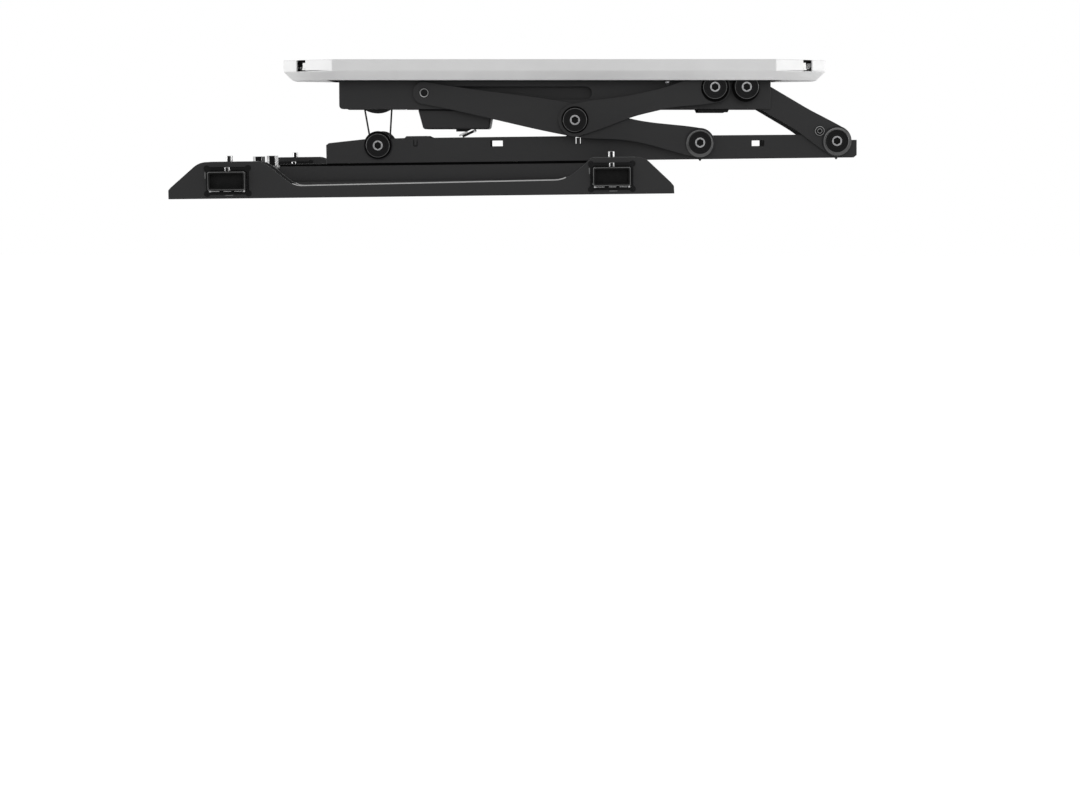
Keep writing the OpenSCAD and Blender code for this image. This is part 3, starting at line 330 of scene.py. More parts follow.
white_satin = powder_coat(
    "satin_white_paint", grey(0.76), roughness=0.45, specular=0.3, grain=0.006 * MM, peel=0.012 * MM
)
white_moulded = moulded_plastic(
    "moulded_white_plastic", (0.76, 0.76, 0.75), roughness=0.45, specular=0.4
)
black_coat = powder_coat(
    "black_powder_coat", (0.0165, 0.0165, 0.017),
    roughness=0.5, specular=0.22, grain=0.03 * MM, peel=0.03 * MM,
)
black_moulded = moulded_plastic(
    "moulded_black_plastic", (0.0035, 0.0035, 0.0038), roughness=0.42, specular=0.1
)
black_rubber = soft_rubber("matt_black_rubber", grey(0.006), specular=0.14)
blacked_steel = plated_steel("oxide_black_steel", (0.016, 0.016, 0.017), roughness=0.4)
zinc_steel = plated_steel("zinc_plated_steel", (0.3, 0.3, 0.31), roughness=0.32)
grey_primer = powder_coat(
    "grey_primer_coat", (0.09, 0.09, 0.095),
    roughness=0.5, specular=0.4, grain=0.02 * MM, peel=0.02 * MM,
)
brass = machined_metal("machined_brass", (0.62, 0.44, 0.19), 0.3, direction="Y", line=0.35 * MM)
motor_shell = machined_metal("drawn_motor_case", (0.5, 0.5, 0.52), 0.34, direction="X", line=0.5 * MM)

finish = {
    "white_paint": white_satin,
    "white_plastic": white_moulded,
    "black_paint": black_coat,
    "black_plastic": black_moulded,
    "black_rubber": black_rubber,
    "dark_steel": blacked_steel,
    "bright_steel": zinc_steel,
    "bracket_steel": grey_primer,
    "gear_brass": brass,
    "motor_case": motor_shell,
    "nylon": natural_nylon("natural_nylon", (0.66, 0.65, 0.6)),
    "rope_wire": wire_rope_steel("greased_wire_rope", grey(0.03)),
    "sensor_lens": dark_lens("infrared_window", (0.05, 0.004, 0.006)),
}
# Pale grey painted highlight: on the caps' rim edges, round the tube plugs, on the collars' snap tabs and in the
# crescents behind the elbow and tail caps
highlight_grey = plated_steel("edge_worn_to_steel", grey(0.085), roughness=0.36)
# Pale grey painted highlight rings on the black heads of the rivets and rear arm bolts
ring_painted_highlight = plated_steel("polished_ring_steel", grey(0.14), roughness=0.28)
# Bright steel; also the colour of the painted glint strips below the tube plugs
polished_pin = plated_steel("polished_pin_steel", grey(0.34), roughness=0.26)
bore_shadow = soft_rubber("unlit_bore_black", grey(0.002), specular=0.03)
housing_plastic = moulded_plastic(
    "moulded_housing_plastic", (0.0155, 0.0155, 0.016), roughness=0.46, specular=0.2
)
# Pale grey painted highlight along the brackets' lips
lip_highlight_grey = powder_coat(
    "edge_rubbed_to_primer", grey(0.45), roughness=0.5, specular=0.3, grain=0.02 * MM, peel=0.02 * MM
)


# Modelling helpers

def pick(piece):
    """Deselects everything and makes this piece the only selected and active one."""
    if bpy.context.object and bpy.context.object.mode == "EDIT":
        leave_edit()
    bpy.ops.object.select_all(action="DESELECT")
    piece.select_set(True)
    bpy.context.view_layer.objects.active = piece


def edit_whole(piece):
    """Enters edit mode with all of a piece selected."""
    pick(piece)
    bpy.ops.object.mode_set(mode="EDIT")
    bpy.ops.mesh.select_all(action="SELECT")


def leave_edit():
    bpy.ops.object.mode_set(mode="OBJECT")


def select_faces(piece, wanted):
    """In edit mode, selects the faces whose centre and normal are wanted."""
    pick(piece)
    bpy.ops.object.mode_set(mode="EDIT")
    bpy.ops.mesh.select_mode(type="FACE")
    bpy.ops.mesh.select_all(action="DESELECT")
    leave_edit()
    for face in piece.data.polygons:
        face.select = wanted(face.center, face.normal)
    bpy.ops.object.mode_set(mode="EDIT")


def extrude(x, y, z):
    bpy.ops.mesh.extrude_region_move(TRANSFORM_OT_translate={"value": (x, y, z)})


def inset(thickness):
    bpy.ops.mesh.inset(thickness=thickness)


def lay_in(piece):
    """Lays a piece's place, turn and size into its mesh."""
    pick(piece)
    bpy.ops.object.transform_apply(location=True, rotation=True, scale=True)


def set_down(piece, location, rotation=(0, 0, 0)):
    """Moves a piece that was modelled at the origin into place."""
    piece.rotation_euler = rotation
    piece.location = location
    lay_in(piece)


def smooth(piece, degrees):
    """Smooths the shading across edges blunter than this."""
    pick(piece)
    bpy.ops.object.shade_smooth_by_angle(angle=math.radians(degrees))


def add_applied(piece, kind, **settings):
    """Adds a modifier with these settings and applies it."""
    pick(piece)
    modifier = piece.modifiers.new(kind.lower(), kind)
    for key, value in settings.items():
        setattr(modifier, key, value)
    bpy.ops.object.modifier_apply(modifier=modifier.name)


def round_edges(piece, width, segments=2, angle=32):
    """Rounds every edge sharper than angle and evens the shading of the flats between them."""
    add_applied(
        piece, "BEVEL", width=width, segments=segments, limit_method="ANGLE",
        angle_limit=math.radians(angle), use_clamp_overlap=False, miter_outer="MITER_ARC",
    )
    smooth(piece, 50)
    add_applied(piece, "WEIGHTED_NORMAL", weight=50, keep_sharp=True)


def outward(piece):
    """Merges doubles and turns every face outwards."""
    edit_whole(piece)
    bpy.ops.mesh.remove_doubles(threshold=WELD_GAP)
    bpy.ops.mesh.normals_make_consistent(inside=False)
    leave_edit()


def coat_with(piece, *coats):
    """Gives a piece its materials, in the order of their numbers on its faces."""
    for coat in coats:
        piece.data.materials.append(coat)


def linked(name, mesh):
    """A new piece in the scene with this mesh."""
    piece = bpy.data.objects.new(name, mesh)
    bpy.context.scene.collection.objects.link(piece)
    return piece


def pair_across(piece, place, seat):
    """This piece and its twin, facing outwards on both sides of the mount at a place (x, z)."""
    x, z = place
    twin = linked("near_twin", piece.data.copy())
    set_down(piece, (x, seat, z), FACING_FAR)
    set_down(twin, (x, -seat, z), FACING_NEAR)
    return [twin, piece]


def joined(pieces, name):
    """Several pieces as one."""
    pick(pieces[0])
    for other in pieces[1:]:
        other.select_set(True)
    bpy.ops.object.join()
    whole = bpy.context.view_layer.objects.active
    whole.name = name
    return whole


def dress(piece, slot, body, *stood_for):
    """Gives a piece its finish, if it has none yet, its body and the solids that it stands for."""
    if not piece.data.materials:
        coat_with(piece, finish[slot])
    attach(piece, body)
    if stood_for:
        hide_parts(*stood_for)


def nodes_copy(node, whole_flats=True):
    """A solid's mesh as a new piece, with its flats made whole again if wanted."""
    mesh = nodes[node].data.copy()
    mesh.materials.clear()
    piece = linked(node + "_finished", mesh)
    edit_whole(piece)
    bpy.ops.mesh.remove_doubles(threshold=WELD_GAP)
    if whole_flats:
        bpy.ops.mesh.dissolve_limited(angle_limit=math.radians(0.5))
    leave_edit()
    if mesh.has_custom_normals:
        bpy.ops.mesh.customdata_custom_splitnormals_clear()
    return piece


def softened(node, width, segments=2, whole_flats=True):
    """A copy of a solid with its edges rounded, in place of the solid."""
    piece = nodes_copy(node, whole_flats)
    round_edges(piece, width, segments)
    dress(piece, slot_of_node[node], body_of_node[node], node)


def drawn_line(points):
    """An open line through points in X and Z, extruded point by point."""
    bpy.ops.mesh.primitive_plane_add(size=1 * MM, location=(0, 0, 0))
    line = bpy.context.object
    pick(line)
    bpy.ops.object.mode_set(mode="EDIT")
    bpy.ops.mesh.select_mode(type="VERT")
    bpy.ops.mesh.select_all(action="SELECT")
    bpy.ops.mesh.merge(type="CENTER")
    bpy.ops.transform.translate(value=(points[0][0], 0, points[0][1]))
    for before, after in zip(points, points[1:]):
        extrude(after[0] - before[0], 0, after[1] - before[1])
    leave_edit()
    return line


def turned(points, steps=48):
    """A solid of revolution about Z from its half outline, given in metres from the axis."""
    piece = drawn_line(points)
    edit_whole(piece)
    bpy.ops.mesh.spin(steps=steps, angle=math.radians(360), center=(0, 0, 0), axis=(0, 0, 1))
    leave_edit()
    outward(piece)
    return piece


def in_mm(points):
    return [(x * MM, z * MM) for x, z in points]


def sized_block(x, y, z):
    """A block of this size about the origin."""
    bpy.ops.mesh.primitive_cube_add(size=1, location=(0, 0, 0))
    block = bpy.context.object
    block.scale = (x, y, z)
    lay_in(block)
    return block


def reach_of(piece, vertex_number):
    """How far a vertex stands from the Z axis."""
    return math.hypot(*piece.data.vertices[vertex_number].co.xy)


# Axle caps: a rimmed black disc, a recessed face and a steel hub with a six-sided socket; the rim's sloping edge
# carries a painted highlight and the socket a painted black shade

CAP_R = 13.1 * MM
CAP_T = 4 * MM
CAP_EDGE = 0.7 * MM
HUB_R = 5.6 * MM
HUB_FOOT = 1 * MM
SOCKET_FLAT = 3.5 * MM
SOCKET_REACH = 4.1 * MM
SOCKET_RING = 1.7 * MM
SOCKET_DEPTH = 2.5 * MM
HIGHLIGHT_REACH = 12.45 * MM
HIGHLIGHT_FOOT = 3.2 * MM

# From the rim to the hub: how far each ring goes in, and then up, in millimetres
CAP_RINGS = ((1.5, -0.8), (2.2, -0.25), (3.2, 1.05))


def cut_six_sides(cap):
    """Pushes the ring of vertices round the socket out to a hexagon."""
    for vertex in cap.data.vertices:
        x, y, z = vertex.co
        radius = math.hypot(x, y)
        if 0.1 * MM < radius < 4 * MM and abs(z - CAP_T) < 0.05 * MM:
            turn = (math.atan2(y, x) + math.radians(30)) % math.radians(60) - math.radians(30)
            factor = SOCKET_FLAT / math.cos(turn) / radius
            vertex.co.x *= factor
            vertex.co.y *= factor


def axle_cap(hub_coat):
    bpy.ops.mesh.primitive_cylinder_add(
        vertices=72, radius=CAP_R, depth=CAP_T, location=(0, 0, CAP_T / 2)
    )
    cap = bpy.context.object
    lay_in(cap)

    def face_at_top(centre, normal):
        return normal.z > 0.99 and math.hypot(centre.x, centre.y) < 0.2 * MM and centre.z > 0.5 * MM

    select_faces(cap, face_at_top)
    bpy.ops.mesh.bevel(offset=CAP_EDGE, segments=3, affect="EDGES")
    select_faces(cap, face_at_top)
    for inwards, up in CAP_RINGS:
        inset(inwards * MM)
        extrude(0, 0, up * MM)
    inset(SOCKET_RING)
    leave_edit()
    cut_six_sides(cap)
    bpy.ops.object.mode_set(mode="EDIT")
    extrude(0, 0, -SOCKET_DEPTH)
    leave_edit()
    coat_with(cap, black_moulded, hub_coat, highlight_grey, black_rubber)
    # The socket's faces are painted black as the shade in it, and the rim's sloping edge pale as a painted
    # highlight
    for face in cap.data.polygons:
        reach = max(reach_of(cap, number) for number in face.vertices)
        if reach < SOCKET_REACH:
            face.material_index = 3
        elif reach < HUB_R and face.center.z > HUB_FOOT:
            face.material_index = 1
        elif reach > HIGHLIGHT_REACH and 0.1 < face.normal.z < 0.98 and face.center.z > HIGHLIGHT_FOOT:
            face.material_index = 2
    round_edges(cap, 0.2 * MM)
    return cap


def cap_pair(place, seat):
    """The near and far cap on an axle, with their seats this far from the middle."""
    hub = turned_steel("hub_at_%d" % round(place[0] / MM + 500), (0.21, 0.21, 0.213), 0.34, place)
    return pair_across(axle_cap(hub), place, seat)


def painted_crescent_rings(place, seat, radius, shift, coat):
    """Rings behind a pair of caps, set off their axle by shift, as (x, z), so that a crescent of painted shadow or
    painted highlight shows round each cap.
    """
    washer = turned(in_mm([
        (5, 0), (radius - 0.3, 0), (radius, 0.15), (radius, 0.35), (radius - 0.3, 0.5),
        (5, 0.5), (5, 0),
    ]))
    smooth(washer, 35)
    coat_with(washer, coat)
    return pair_across(washer, (place[0] + shift[0] * MM, place[1] + shift[1] * MM), seat)


OUTER_SEAT = 54 * MM
ELBOW_SEAT = 50.3 * MM
TAIL_SEAT = 41.8 * MM
PULLEY_SEAT = 36.5 * MM


def rear_studs():
    """The collared studs behind the outer caps of the rear arms."""
    stud = turned(in_mm([
        (0, -13.5), (5.6, -13.5), (6, -13.1), (6, -10.5), (10.7, -10.5), (11, -10.2),
        (11, 0), (0, 0),
    ]))
    smooth(stud, 35)
    coat_with(stud, blacked_steel)
    return pair_across(stud, REAR, OUTER_SEAT)


def add_caps():
    # Dark rings give painted shadow crescents round the caps; pale ones behind the elbow and tail caps give
    # painted highlights
    root_caps = (
        cap_pair(ROOT, OUTER_SEAT)
        + painted_crescent_rings(ROOT, OUTER_SEAT, 15.2, (0.2, -1), bore_shadow)
    )
    dress(joined(root_caps, "root_cap_pair"), "black_plastic", "base", "root_caps")
    rear_caps = (
        cap_pair(REAR, OUTER_SEAT) + rear_studs()
        + painted_crescent_rings(REAR, OUTER_SEAT, 15.2, (-0.9, -1), bore_shadow)
    )
    dress(joined(rear_caps, "rear_cap_pair"), "black_plastic", "base", "rear_pivot_studs")
    knee_caps = (
        cap_pair(KNEE, OUTER_SEAT)
        + painted_crescent_rings(KNEE, OUTER_SEAT, 14.7, (0, 0.2), bore_shadow)
    )
    dress(joined(knee_caps, "knee_cap_pair"), "black_plastic", "long_arm", "knee_caps")
    frame_caps = (
        cap_pair(ELBOW, ELBOW_SEAT) + cap_pair(TAIL, TAIL_SEAT) + cap_pair(PULLEY, PULLEY_SEAT)
        + painted_crescent_rings(ELBOW, ELBOW_SEAT, 14.9, (-0.2, -1), highlight_grey)
        + painted_crescent_rings(TAIL, TAIL_SEAT, 15.3, (0.7, -0.6), highlight_grey)
        + painted_crescent_rings(PULLEY, PULLEY_SEAT, 15, (0, 0.2), bore_shadow)
    )
    dress(joined(frame_caps, "frame_cap_set"), "black_plastic", "swing", "frame_caps")


# Screws and nuts

PIN_R = 3.3 * MM
DARK_BAND_W = 2.3 * MM
GROOVE_PITCH = 3 * MM


def locking_pin(length):
    """A plated pin up Z from the origin, with turned grooves and a black strip front and back as a painted dark
    reflection down its middle.
    """
    rim = PIN_R - 0.15 * MM
    outline = [(0, 0), (PIN_R, 0)]
    grooves = int(length / GROOVE_PITCH)
    for number in range(grooves):
        middle = length * (number + 0.5) / grooves
        outline += [
            (PIN_R, middle - 0.25 * MM), (rim, middle - 0.1 * MM),
            (rim, middle + 0.1 * MM), (PIN_R, middle + 0.25 * MM),
        ]
    outline += [(PIN_R, length - 0.4 * MM), (PIN_R - 0.4 * MM, length), (0, length)]
    pin = turned(outline, steps=40)
    smooth(pin, 32)
    coat_with(pin, polished_pin)
    parts = [pin]
    # The black strips front and back are a painted dark reflection down the pin's middle
    for side in (-1, 1):
        dark_band = sized_block(DARK_BAND_W, 0.6 * MM, length - 0.5 * MM)
        round_edges(dark_band, 0.15 * MM)
        set_down(dark_band, (0, side * (PIN_R - 0.22 * MM), length / 2))
        coat_with(dark_band, black_moulded)
        parts.append(dark_band)
    return joined(parts, "locking_pin")


def tall_nut(across_corners, height):
    """A tall six-sided nut up Z, painted black on the flats that face the near and far side as their dark
    reflection.
    """
    bpy.ops.mesh.primitive_cylinder_add(
        vertices=6, radius=across_corners, depth=height, location=(0, 0, height / 2),
        rotation=(0, 0, math.radians(30)),
    )
    nut = bpy.context.object
    lay_in(nut)
    select_faces(nut, lambda centre, normal: normal.z > 0.99)
    inset(0.4 * across_corners)
    extrude(0, 0, -1.2 * MM)
    leave_edit()
    coat_with(nut, polished_pin, black_moulded)
    # The flats facing near and far are painted black as a dark reflection; the others stay bright
    for face in nut.data.polygons:
        face.material_index = 1 if abs(face.normal.y) > 0.9 else 0
    round_edges(nut, 0.3 * MM, angle=25)
    return nut


def plain_washer(radius, bore, thickness):
    return turned([
        (bore, 0), (radius - 0.2 * MM, 0), (radius, 0.2 * MM), (radius, thickness - 0.3 * MM),
        (radius - 0.3 * MM, thickness), (bore, thickness), (bore, 0),
    ])


# Places along, across and up from the elbow on the frame, in millimetres
TUBE_LEFT_U = -482
TUBE_RIGHT_U = -101
TUBE_TOP_V = -22
BRACKET_Y = 300
NUT_Y = 62
WASHER_T = 1.2

CLAMP_LENGTH = 14.9 * MM
COLLAR_PIN_LENGTH = 4.9 * MM


def add_clamp_screws():
    """Clamp screws down through the brackets' seats on to the tubes."""
    for side, y in (("near", -BRACKET_Y), ("far", BRACKET_Y)):
        parts = []
        for u in (TUBE_LEFT_U, TUBE_RIGHT_U):
            screw = locking_pin(CLAMP_LENGTH)
            set_down(screw, on_frame(u, y, TUBE_TOP_V + 0.1), ALONG_FRAME)
            parts.append(screw)
        dress(
            joined(parts, "clamp_screw_pair_" + side),
            "bright_steel", side + "_bracket", "clamp_screws_" + side,
        )


def add_tube_nuts():
    """Washers and tall nuts on top of the left cross tube."""
    parts = []
    for y in (-NUT_Y, NUT_Y):
        washer = plain_washer(7.8 * MM, 4 * MM, WASHER_T * MM)
        coat_with(washer, polished_pin)
        set_down(washer, on_frame(TUBE_LEFT_U, y, TUBE_TOP_V), ALONG_FRAME)
        nut = tall_nut(6.7 * MM, 11.4 * MM)
        set_down(nut, on_frame(TUBE_LEFT_U, y, TUBE_TOP_V + WASHER_T), ALONG_FRAME)
        parts += [washer, nut]
    dress(joined(parts, "tube_nut_set"), "dark_steel", "carriage", "tube_nuts")


def ringed_head(outline, rings):
    """A turned head up Z, black but for painted highlight rings, each between two radii in millimetres."""
    head = turned(in_mm(outline))
    coat_with(head, black_moulded, ring_painted_highlight)
    for face in head.data.polygons:
        reaches = [reach_of(head, number) / MM for number in face.vertices]
        for low, high in rings:
            if min(reaches) > low - 0.05 and max(reaches) < high + 0.05:
                face.material_index = 1
    smooth(head, 38)
    return head


SLIDE_END = (-142 * MM, -35.8 * MM)
CROSS_ARM_FACE = 48.5 * MM
REAR_ARM_FACE = 40 * MM
REAR_BOLT_REACH = 94.4 * MM


def add_ringed_heads():
    """Hollow rivets at the cross arms' sliding ends, and button-headed bolts on the rear arms."""
    rivet = ringed_head(
        [(0, -0.4), (3.3, -0.4), (3.5, 0.7), (3.9, 1.1), (4.9, 1.2), (5.3, 0.9), (5.5, 0), (0, -1)],
        rings=[(3.5, 4.9)],
    )
    dress(
        joined(pair_across(rivet, SLIDE_END, CROSS_ARM_FACE), "slide_end_rivet_pair"),
        "bright_steel", "cross_arm", "slide_end_rivets",
    )
    reach = Vector((TAIL[0] - REAR[0], TAIL[1] - REAR[1])).normalized() * REAR_BOLT_REACH
    bolt = ringed_head(
        [(0, 0.4), (1.9, 0.4), (1.9, 2.1), (2.1, 2.4), (2.7, 2.4), (3, 2.1), (4.5, 1.8), (5.2, 1.8),
         (5.5, 1.5), (5.5, 0), (0, 0)],
        rings=[(2.1, 2.7), (4.5, 5.2)],
    )
    place = (REAR[0] + reach.x, REAR[1] + reach.y)
    dress(
        joined(pair_across(bolt, place, REAR_ARM_FACE), "rear_arm_bolt_pair"),
        "bright_steel", "rear_arm", "rear_arm_bolts",
    )


# Tube ends: a plug with a hollow face, over bright strips that are painted glints

TUBE_MID_V = -31.6
TUBE_W = 38 * MM
TUBE_H = 19.2 * MM
TUBE_END_Y = 326
FLANGE_T = 2 * MM
PLUG_WALL = 2.3 * MM
PLUG_LENGTH = 8 * MM
BORE_STEP = 1.2 * MM
BORE_DEPTH = 6.3 * MM

# Painted glint strips under a plug and upright ones at its corners, in millimetres from the tube's middle
STRIPS = ((-11.5, 8.4), (0.6, 7.5), (11.2, 7.5))
CORNER_STRIPS = (-16.6, 16.9)


def round_long_corners(block, radius):
    """Rounds the four edges of a block that run along Y."""
    pick(block)
    bpy.ops.object.mode_set(mode="EDIT")
    bpy.ops.mesh.select_mode(type="EDGE")
    bpy.ops.mesh.select_all(action="DESELECT")
    leave_edit()
    for edge in block.data.edges:
        a, b = (block.data.vertices[i].co for i in edge.vertices)
        edge.select = abs(a.y - b.y) > 0.5 * block.dimensions.y
    bpy.ops.object.mode_set(mode="EDIT")
    bpy.ops.mesh.bevel(offset=radius, segments=5, affect="EDGES")
    leave_edit()


def tube_plug():
    """A tube's end plug about its flange's outer face, which looks along -Y."""
    plug = sized_block(TUBE_W, FLANGE_T, TUBE_H)
    round_long_corners(plug, 3 * MM)
    select_faces(plug, lambda centre, normal: normal.y > 0.99)
    inset(PLUG_WALL)
    extrude(0, PLUG_LENGTH, 0)
    select_faces(plug, lambda centre, normal: normal.y < -0.99)
    inset(0.6 * MM)
    inset(0.6 * MM)
    inset(0.5 * MM)
    extrude(0, BORE_STEP, 0)
    inset(1 * MM)
    extrude(0, BORE_DEPTH, 0)
    leave_edit()
    coat_with(plug, black_rubber, highlight_grey)
    # A pale line just inside the plug's outer face is a painted highlight
    for face in plug.data.polygons:
        out_x = TUBE_W / 2 - abs(face.center.x)
        out_z = TUBE_H / 2 - abs(face.center.z)
        on_highlight_line = 0.6 * MM < min(out_x, out_z) < 1.2 * MM and face.center.y < -0.95 * MM
        face.material_index = 1 if on_highlight_line else 0
    round_edges(plug, 0.2 * MM)
    return plug


def glint_strip(length, height):
    """A short bright strip below a plug, as a painted glint."""
    strip = sized_block(length, 1.2 * MM, height)
    round_edges(strip, 0.15 * MM)
    coat_with(strip, polished_pin)
    return strip


def tube_end(u, sign):
    """A plug with the painted glint strips below it, at one end of a cross tube."""
    turn = (0, -FRAME_TILT, 0 if sign < 0 else math.radians(180))
    plug = tube_plug()
    set_down(plug, on_frame(u, sign * (TUBE_END_Y + 1), TUBE_MID_V), turn)
    parts = [plug]
    for along, length in STRIPS:
        strip = glint_strip(length * MM, 0.6 * MM)
        set_down(strip, on_frame(u + along, sign * (TUBE_END_Y - 2), TUBE_MID_V - 10.2), turn)
        parts.append(strip)
    for along in CORNER_STRIPS:
        corner = glint_strip(2.2 * MM, 2.4 * MM)
        set_down(corner, on_frame(u + along, sign * (TUBE_END_Y - 2.4), TUBE_MID_V - 9.8), turn)
        parts.append(corner)
    return parts


def add_tube_ends():
    parts = []
    for u in (TUBE_LEFT_U, TUBE_RIGHT_U):
        for sign in (-1, 1):
            parts += tube_end(u, sign)
    dress(joined(parts, "tube_plug_set"), "black_rubber", "carriage", "tube_end_caps")


# Collars, in millimetres from a tube's middle: (along, up), and for the tabs their size as well

BRACKET_HALF = 17.5
EARS = ((-20.6, 12.4), (20.6, 12.4), (-20.6, -12.6), (20.6, -12.6))
SNAP_TABS = ((-22, 5.5, (1.4, 6.2)), (1.5, -14.4, (8, 1.2)))


def collar_ears(u, y, sign):
    """Round ears at the corners of a collar and two snap tabs in a pale painted highlight, lying on the bracket's
    wall.
    """
    parts = []
    face = y + sign * (BRACKET_HALF + 0.4)
    for along, up in EARS:
        bpy.ops.mesh.primitive_cylinder_add(
            vertices=32, radius=3 * MM, depth=0.8 * MM, location=(0, 0, 0)
        )
        ear = bpy.context.object
        round_edges(ear, 0.25 * MM)
        set_down(ear, on_frame(u + along, face, TUBE_MID_V + up), FACING_NEAR)
        coat_with(ear, black_moulded)
        parts.append(ear)
    for along, up, size in SNAP_TABS:
        tab = sized_block(size[0] * MM, 1 * MM, size[1] * MM)
        round_edges(tab, 0.2 * MM)
        set_down(tab, on_frame(u + along, face, TUBE_MID_V + up), ALONG_FRAME)
        # The snap tabs are pale grey as a painted highlight
        coat_with(tab, highlight_grey)
        parts.append(tab)
    return parts


def add_collars():
    """The collars, with their ears and the short pins that close them above the tubes."""
    for side, y in (("near", -BRACKET_Y), ("far", BRACKET_Y)):
        node = "tube_collars_" + side
        collar = nodes_copy(node)
        round_edges(collar, 0.5 * MM)
        coat_with(collar, black_moulded)
        parts = [collar]
        for u in (TUBE_LEFT_U, TUBE_RIGHT_U):
            for sign in (-1, 1):
                parts += collar_ears(u, y, sign)
                pin = locking_pin(COLLAR_PIN_LENGTH)
                set_down(pin, on_frame(u, y + sign * BRACKET_HALF, TUBE_TOP_V - 0.9), ALONG_FRAME)
                parts.append(pin)
        dress(joined(parts, "collar_set_" + side), "black_plastic", side + "_bracket", node)


# Bracket lips, in millimetres: the walls' top edge turned inwards and up between the seats, coloured pale grey as
# a painted highlight along that edge

SEAT_LEFT_END = -453.4
SEAT_RIGHT_START = -120.4
SLIM_TOP_LEFT = -37.6
SLIM_TOP_RIGHT = -35.0
SEAT_TOP = -12.8
LEFT_CURVE = 44
RIGHT_CURVE = 37
CURVE_STEPS = 10
LIP_W = 3
LIP_RISE = 0.8
LIP_T = 1.2


def bracket_top_line():
    """The bracket's top edge from the foot of the left curve to part-way up the right one."""
    points = []
    for step in range(8, CURVE_STEPS + 1):
        t = step / CURVE_STEPS
        fall = (SEAT_TOP - SLIM_TOP_LEFT) * (1 - math.cos(math.pi * t)) / 2
        points.append((SEAT_LEFT_END + LEFT_CURVE * t, SEAT_TOP - fall))
    for step in range(0, 4):
        t = step / CURVE_STEPS
        rise = (SEAT_TOP - SLIM_TOP_RIGHT) * math.cos(math.pi / 2 * t)
        points.append((SEAT_RIGHT_START - RIGHT_CURVE * (1 - t), SEAT_TOP - rise))
    return points


def bracket_lip(y_wall, inwards):
    """One lip, from a wall's inner face at y_wall towards the bracket's middle, in a pale painted highlight."""
    lip = drawn_line([(u * MM, (v - LIP_T) * MM) for u, v in bracket_top_line()])
    edit_whole(lip)
    extrude(0, inwards * LIP_W * MM, LIP_RISE * MM)
    leave_edit()
    add_applied(lip, "SOLIDIFY", thickness=LIP_T * MM, offset=0)
    outward(lip)
    round_edges(lip, 0.3 * MM)
    set_down(lip, on_frame(0, y_wall, LIP_T * 0.45), ALONG_FRAME)
    coat_with(lip, lip_highlight_grey)
    return lip


def add_bracket_lips():
    for side, y in (("near", -BRACKET_Y), ("far", BRACKET_Y)):
        lips = [bracket_lip(y + sign * (BRACKET_HALF - 0.6), -sign) for sign in (-1, 1)]
        dress(joined(lips, "bracket_lip_pair_" + side), "black_paint", side + "_bracket")


# Small pieces on the rails and the frame

RAIL_FACE = 43.5 * MM
RAIL_SCREW = (124.7 * MM, -24 * MM)


def add_rail_screws():
    """Pan-headed screws that hold the controller's shelf to the rails."""
    outline = [(0, 0.7), (1.1, 0.7), (1.1, 1.5), (1.9, 1.3), (2.6, 0.7), (2.7, 0), (0, 0)]
    head = turned(in_mm(outline), steps=32)
    coat_with(head, zinc_steel)
    smooth(head, 38)
    pair = pair_across(head, RAIL_SCREW, RAIL_FACE)
    dress(joined(pair, "rail_screw_pair"), "bright_steel", "base")


FRAME_TAB_U = -312.4
FRAME_TAB_V = 3
FRAME_INSIDE = 32.3


def add_tab_backs():
    """Stiffening plates behind the lanced tabs of the frame's sides."""
    parts = []
    for sign in (-1, 1):
        back = sized_block(11 * MM, 1.2 * MM, 10 * MM)
        round_edges(back, 0.3 * MM)
        place = on_frame(FRAME_TAB_U, sign * (FRAME_INSIDE - 0.6), FRAME_TAB_V)
        set_down(back, place, ALONG_FRAME)
        coat_with(back, black_coat)
        parts.append(back)
    dress(joined(parts, "tab_back_pair"), "black_paint", "swing")


# Switch lever, in millimetres: its bars run between points given as (x, z)

LEVER_Y = -27.5
LEVER_PIN = (-87.5, -77.6)
LEVER_ARM = ((-85.9, -76.2), (-101, -83.3))
LEVER_LEAF = ((-95.4, -77.8), (-104.6, -82.4))
LEVER_W = 3


def lever_bar(ends, thickness, coat):
    """A square bar between two points in the lever's plane."""
    a, b = (Vector((x, LEVER_Y, z)) * MM for x, z in ends)
    run = b - a
    bar = sized_block(run.length, LEVER_W * MM, thickness * MM)
    round_edges(bar, 0.2 * MM)
    set_down(bar, (a + b) / 2, (0, math.atan2(-run.z, run.x), 0))
    coat_with(bar, coat)
    return bar


def add_switch_lever():
    """The limit switch's lever: a black arm on its pin, with the bright leaf that it presses."""
    arm = lever_bar(LEVER_ARM, 2.7, black_moulded)
    leaf = lever_bar(LEVER_LEAF, 1.9, polished_pin)
    bpy.ops.mesh.primitive_cylinder_add(
        vertices=32, radius=1.2 * MM, depth=7 * MM, location=(0, 0, 0)
    )
    pin = bpy.context.object
    round_edges(pin, 0.2 * MM)
    set_down(pin, Vector((LEVER_PIN[0], LEVER_Y, LEVER_PIN[1])) * MM, FACING_FAR)
    coat_with(pin, zinc_steel)
    lever = joined([arm, leaf, pin], "switch_lever_set")
    dress(lever, "bright_steel", "lever", "switch_lever")


# Pieces finished from a copy of their solid

HOUSING_FLOOR = -60 * MM
HOUSING_SINK = 1.2 * MM
SWITCH_CUT = (-91.4 * MM, 0, -75.6 * MM)
SWITCH_CUT_FACING = (0.43, 0, -0.9)


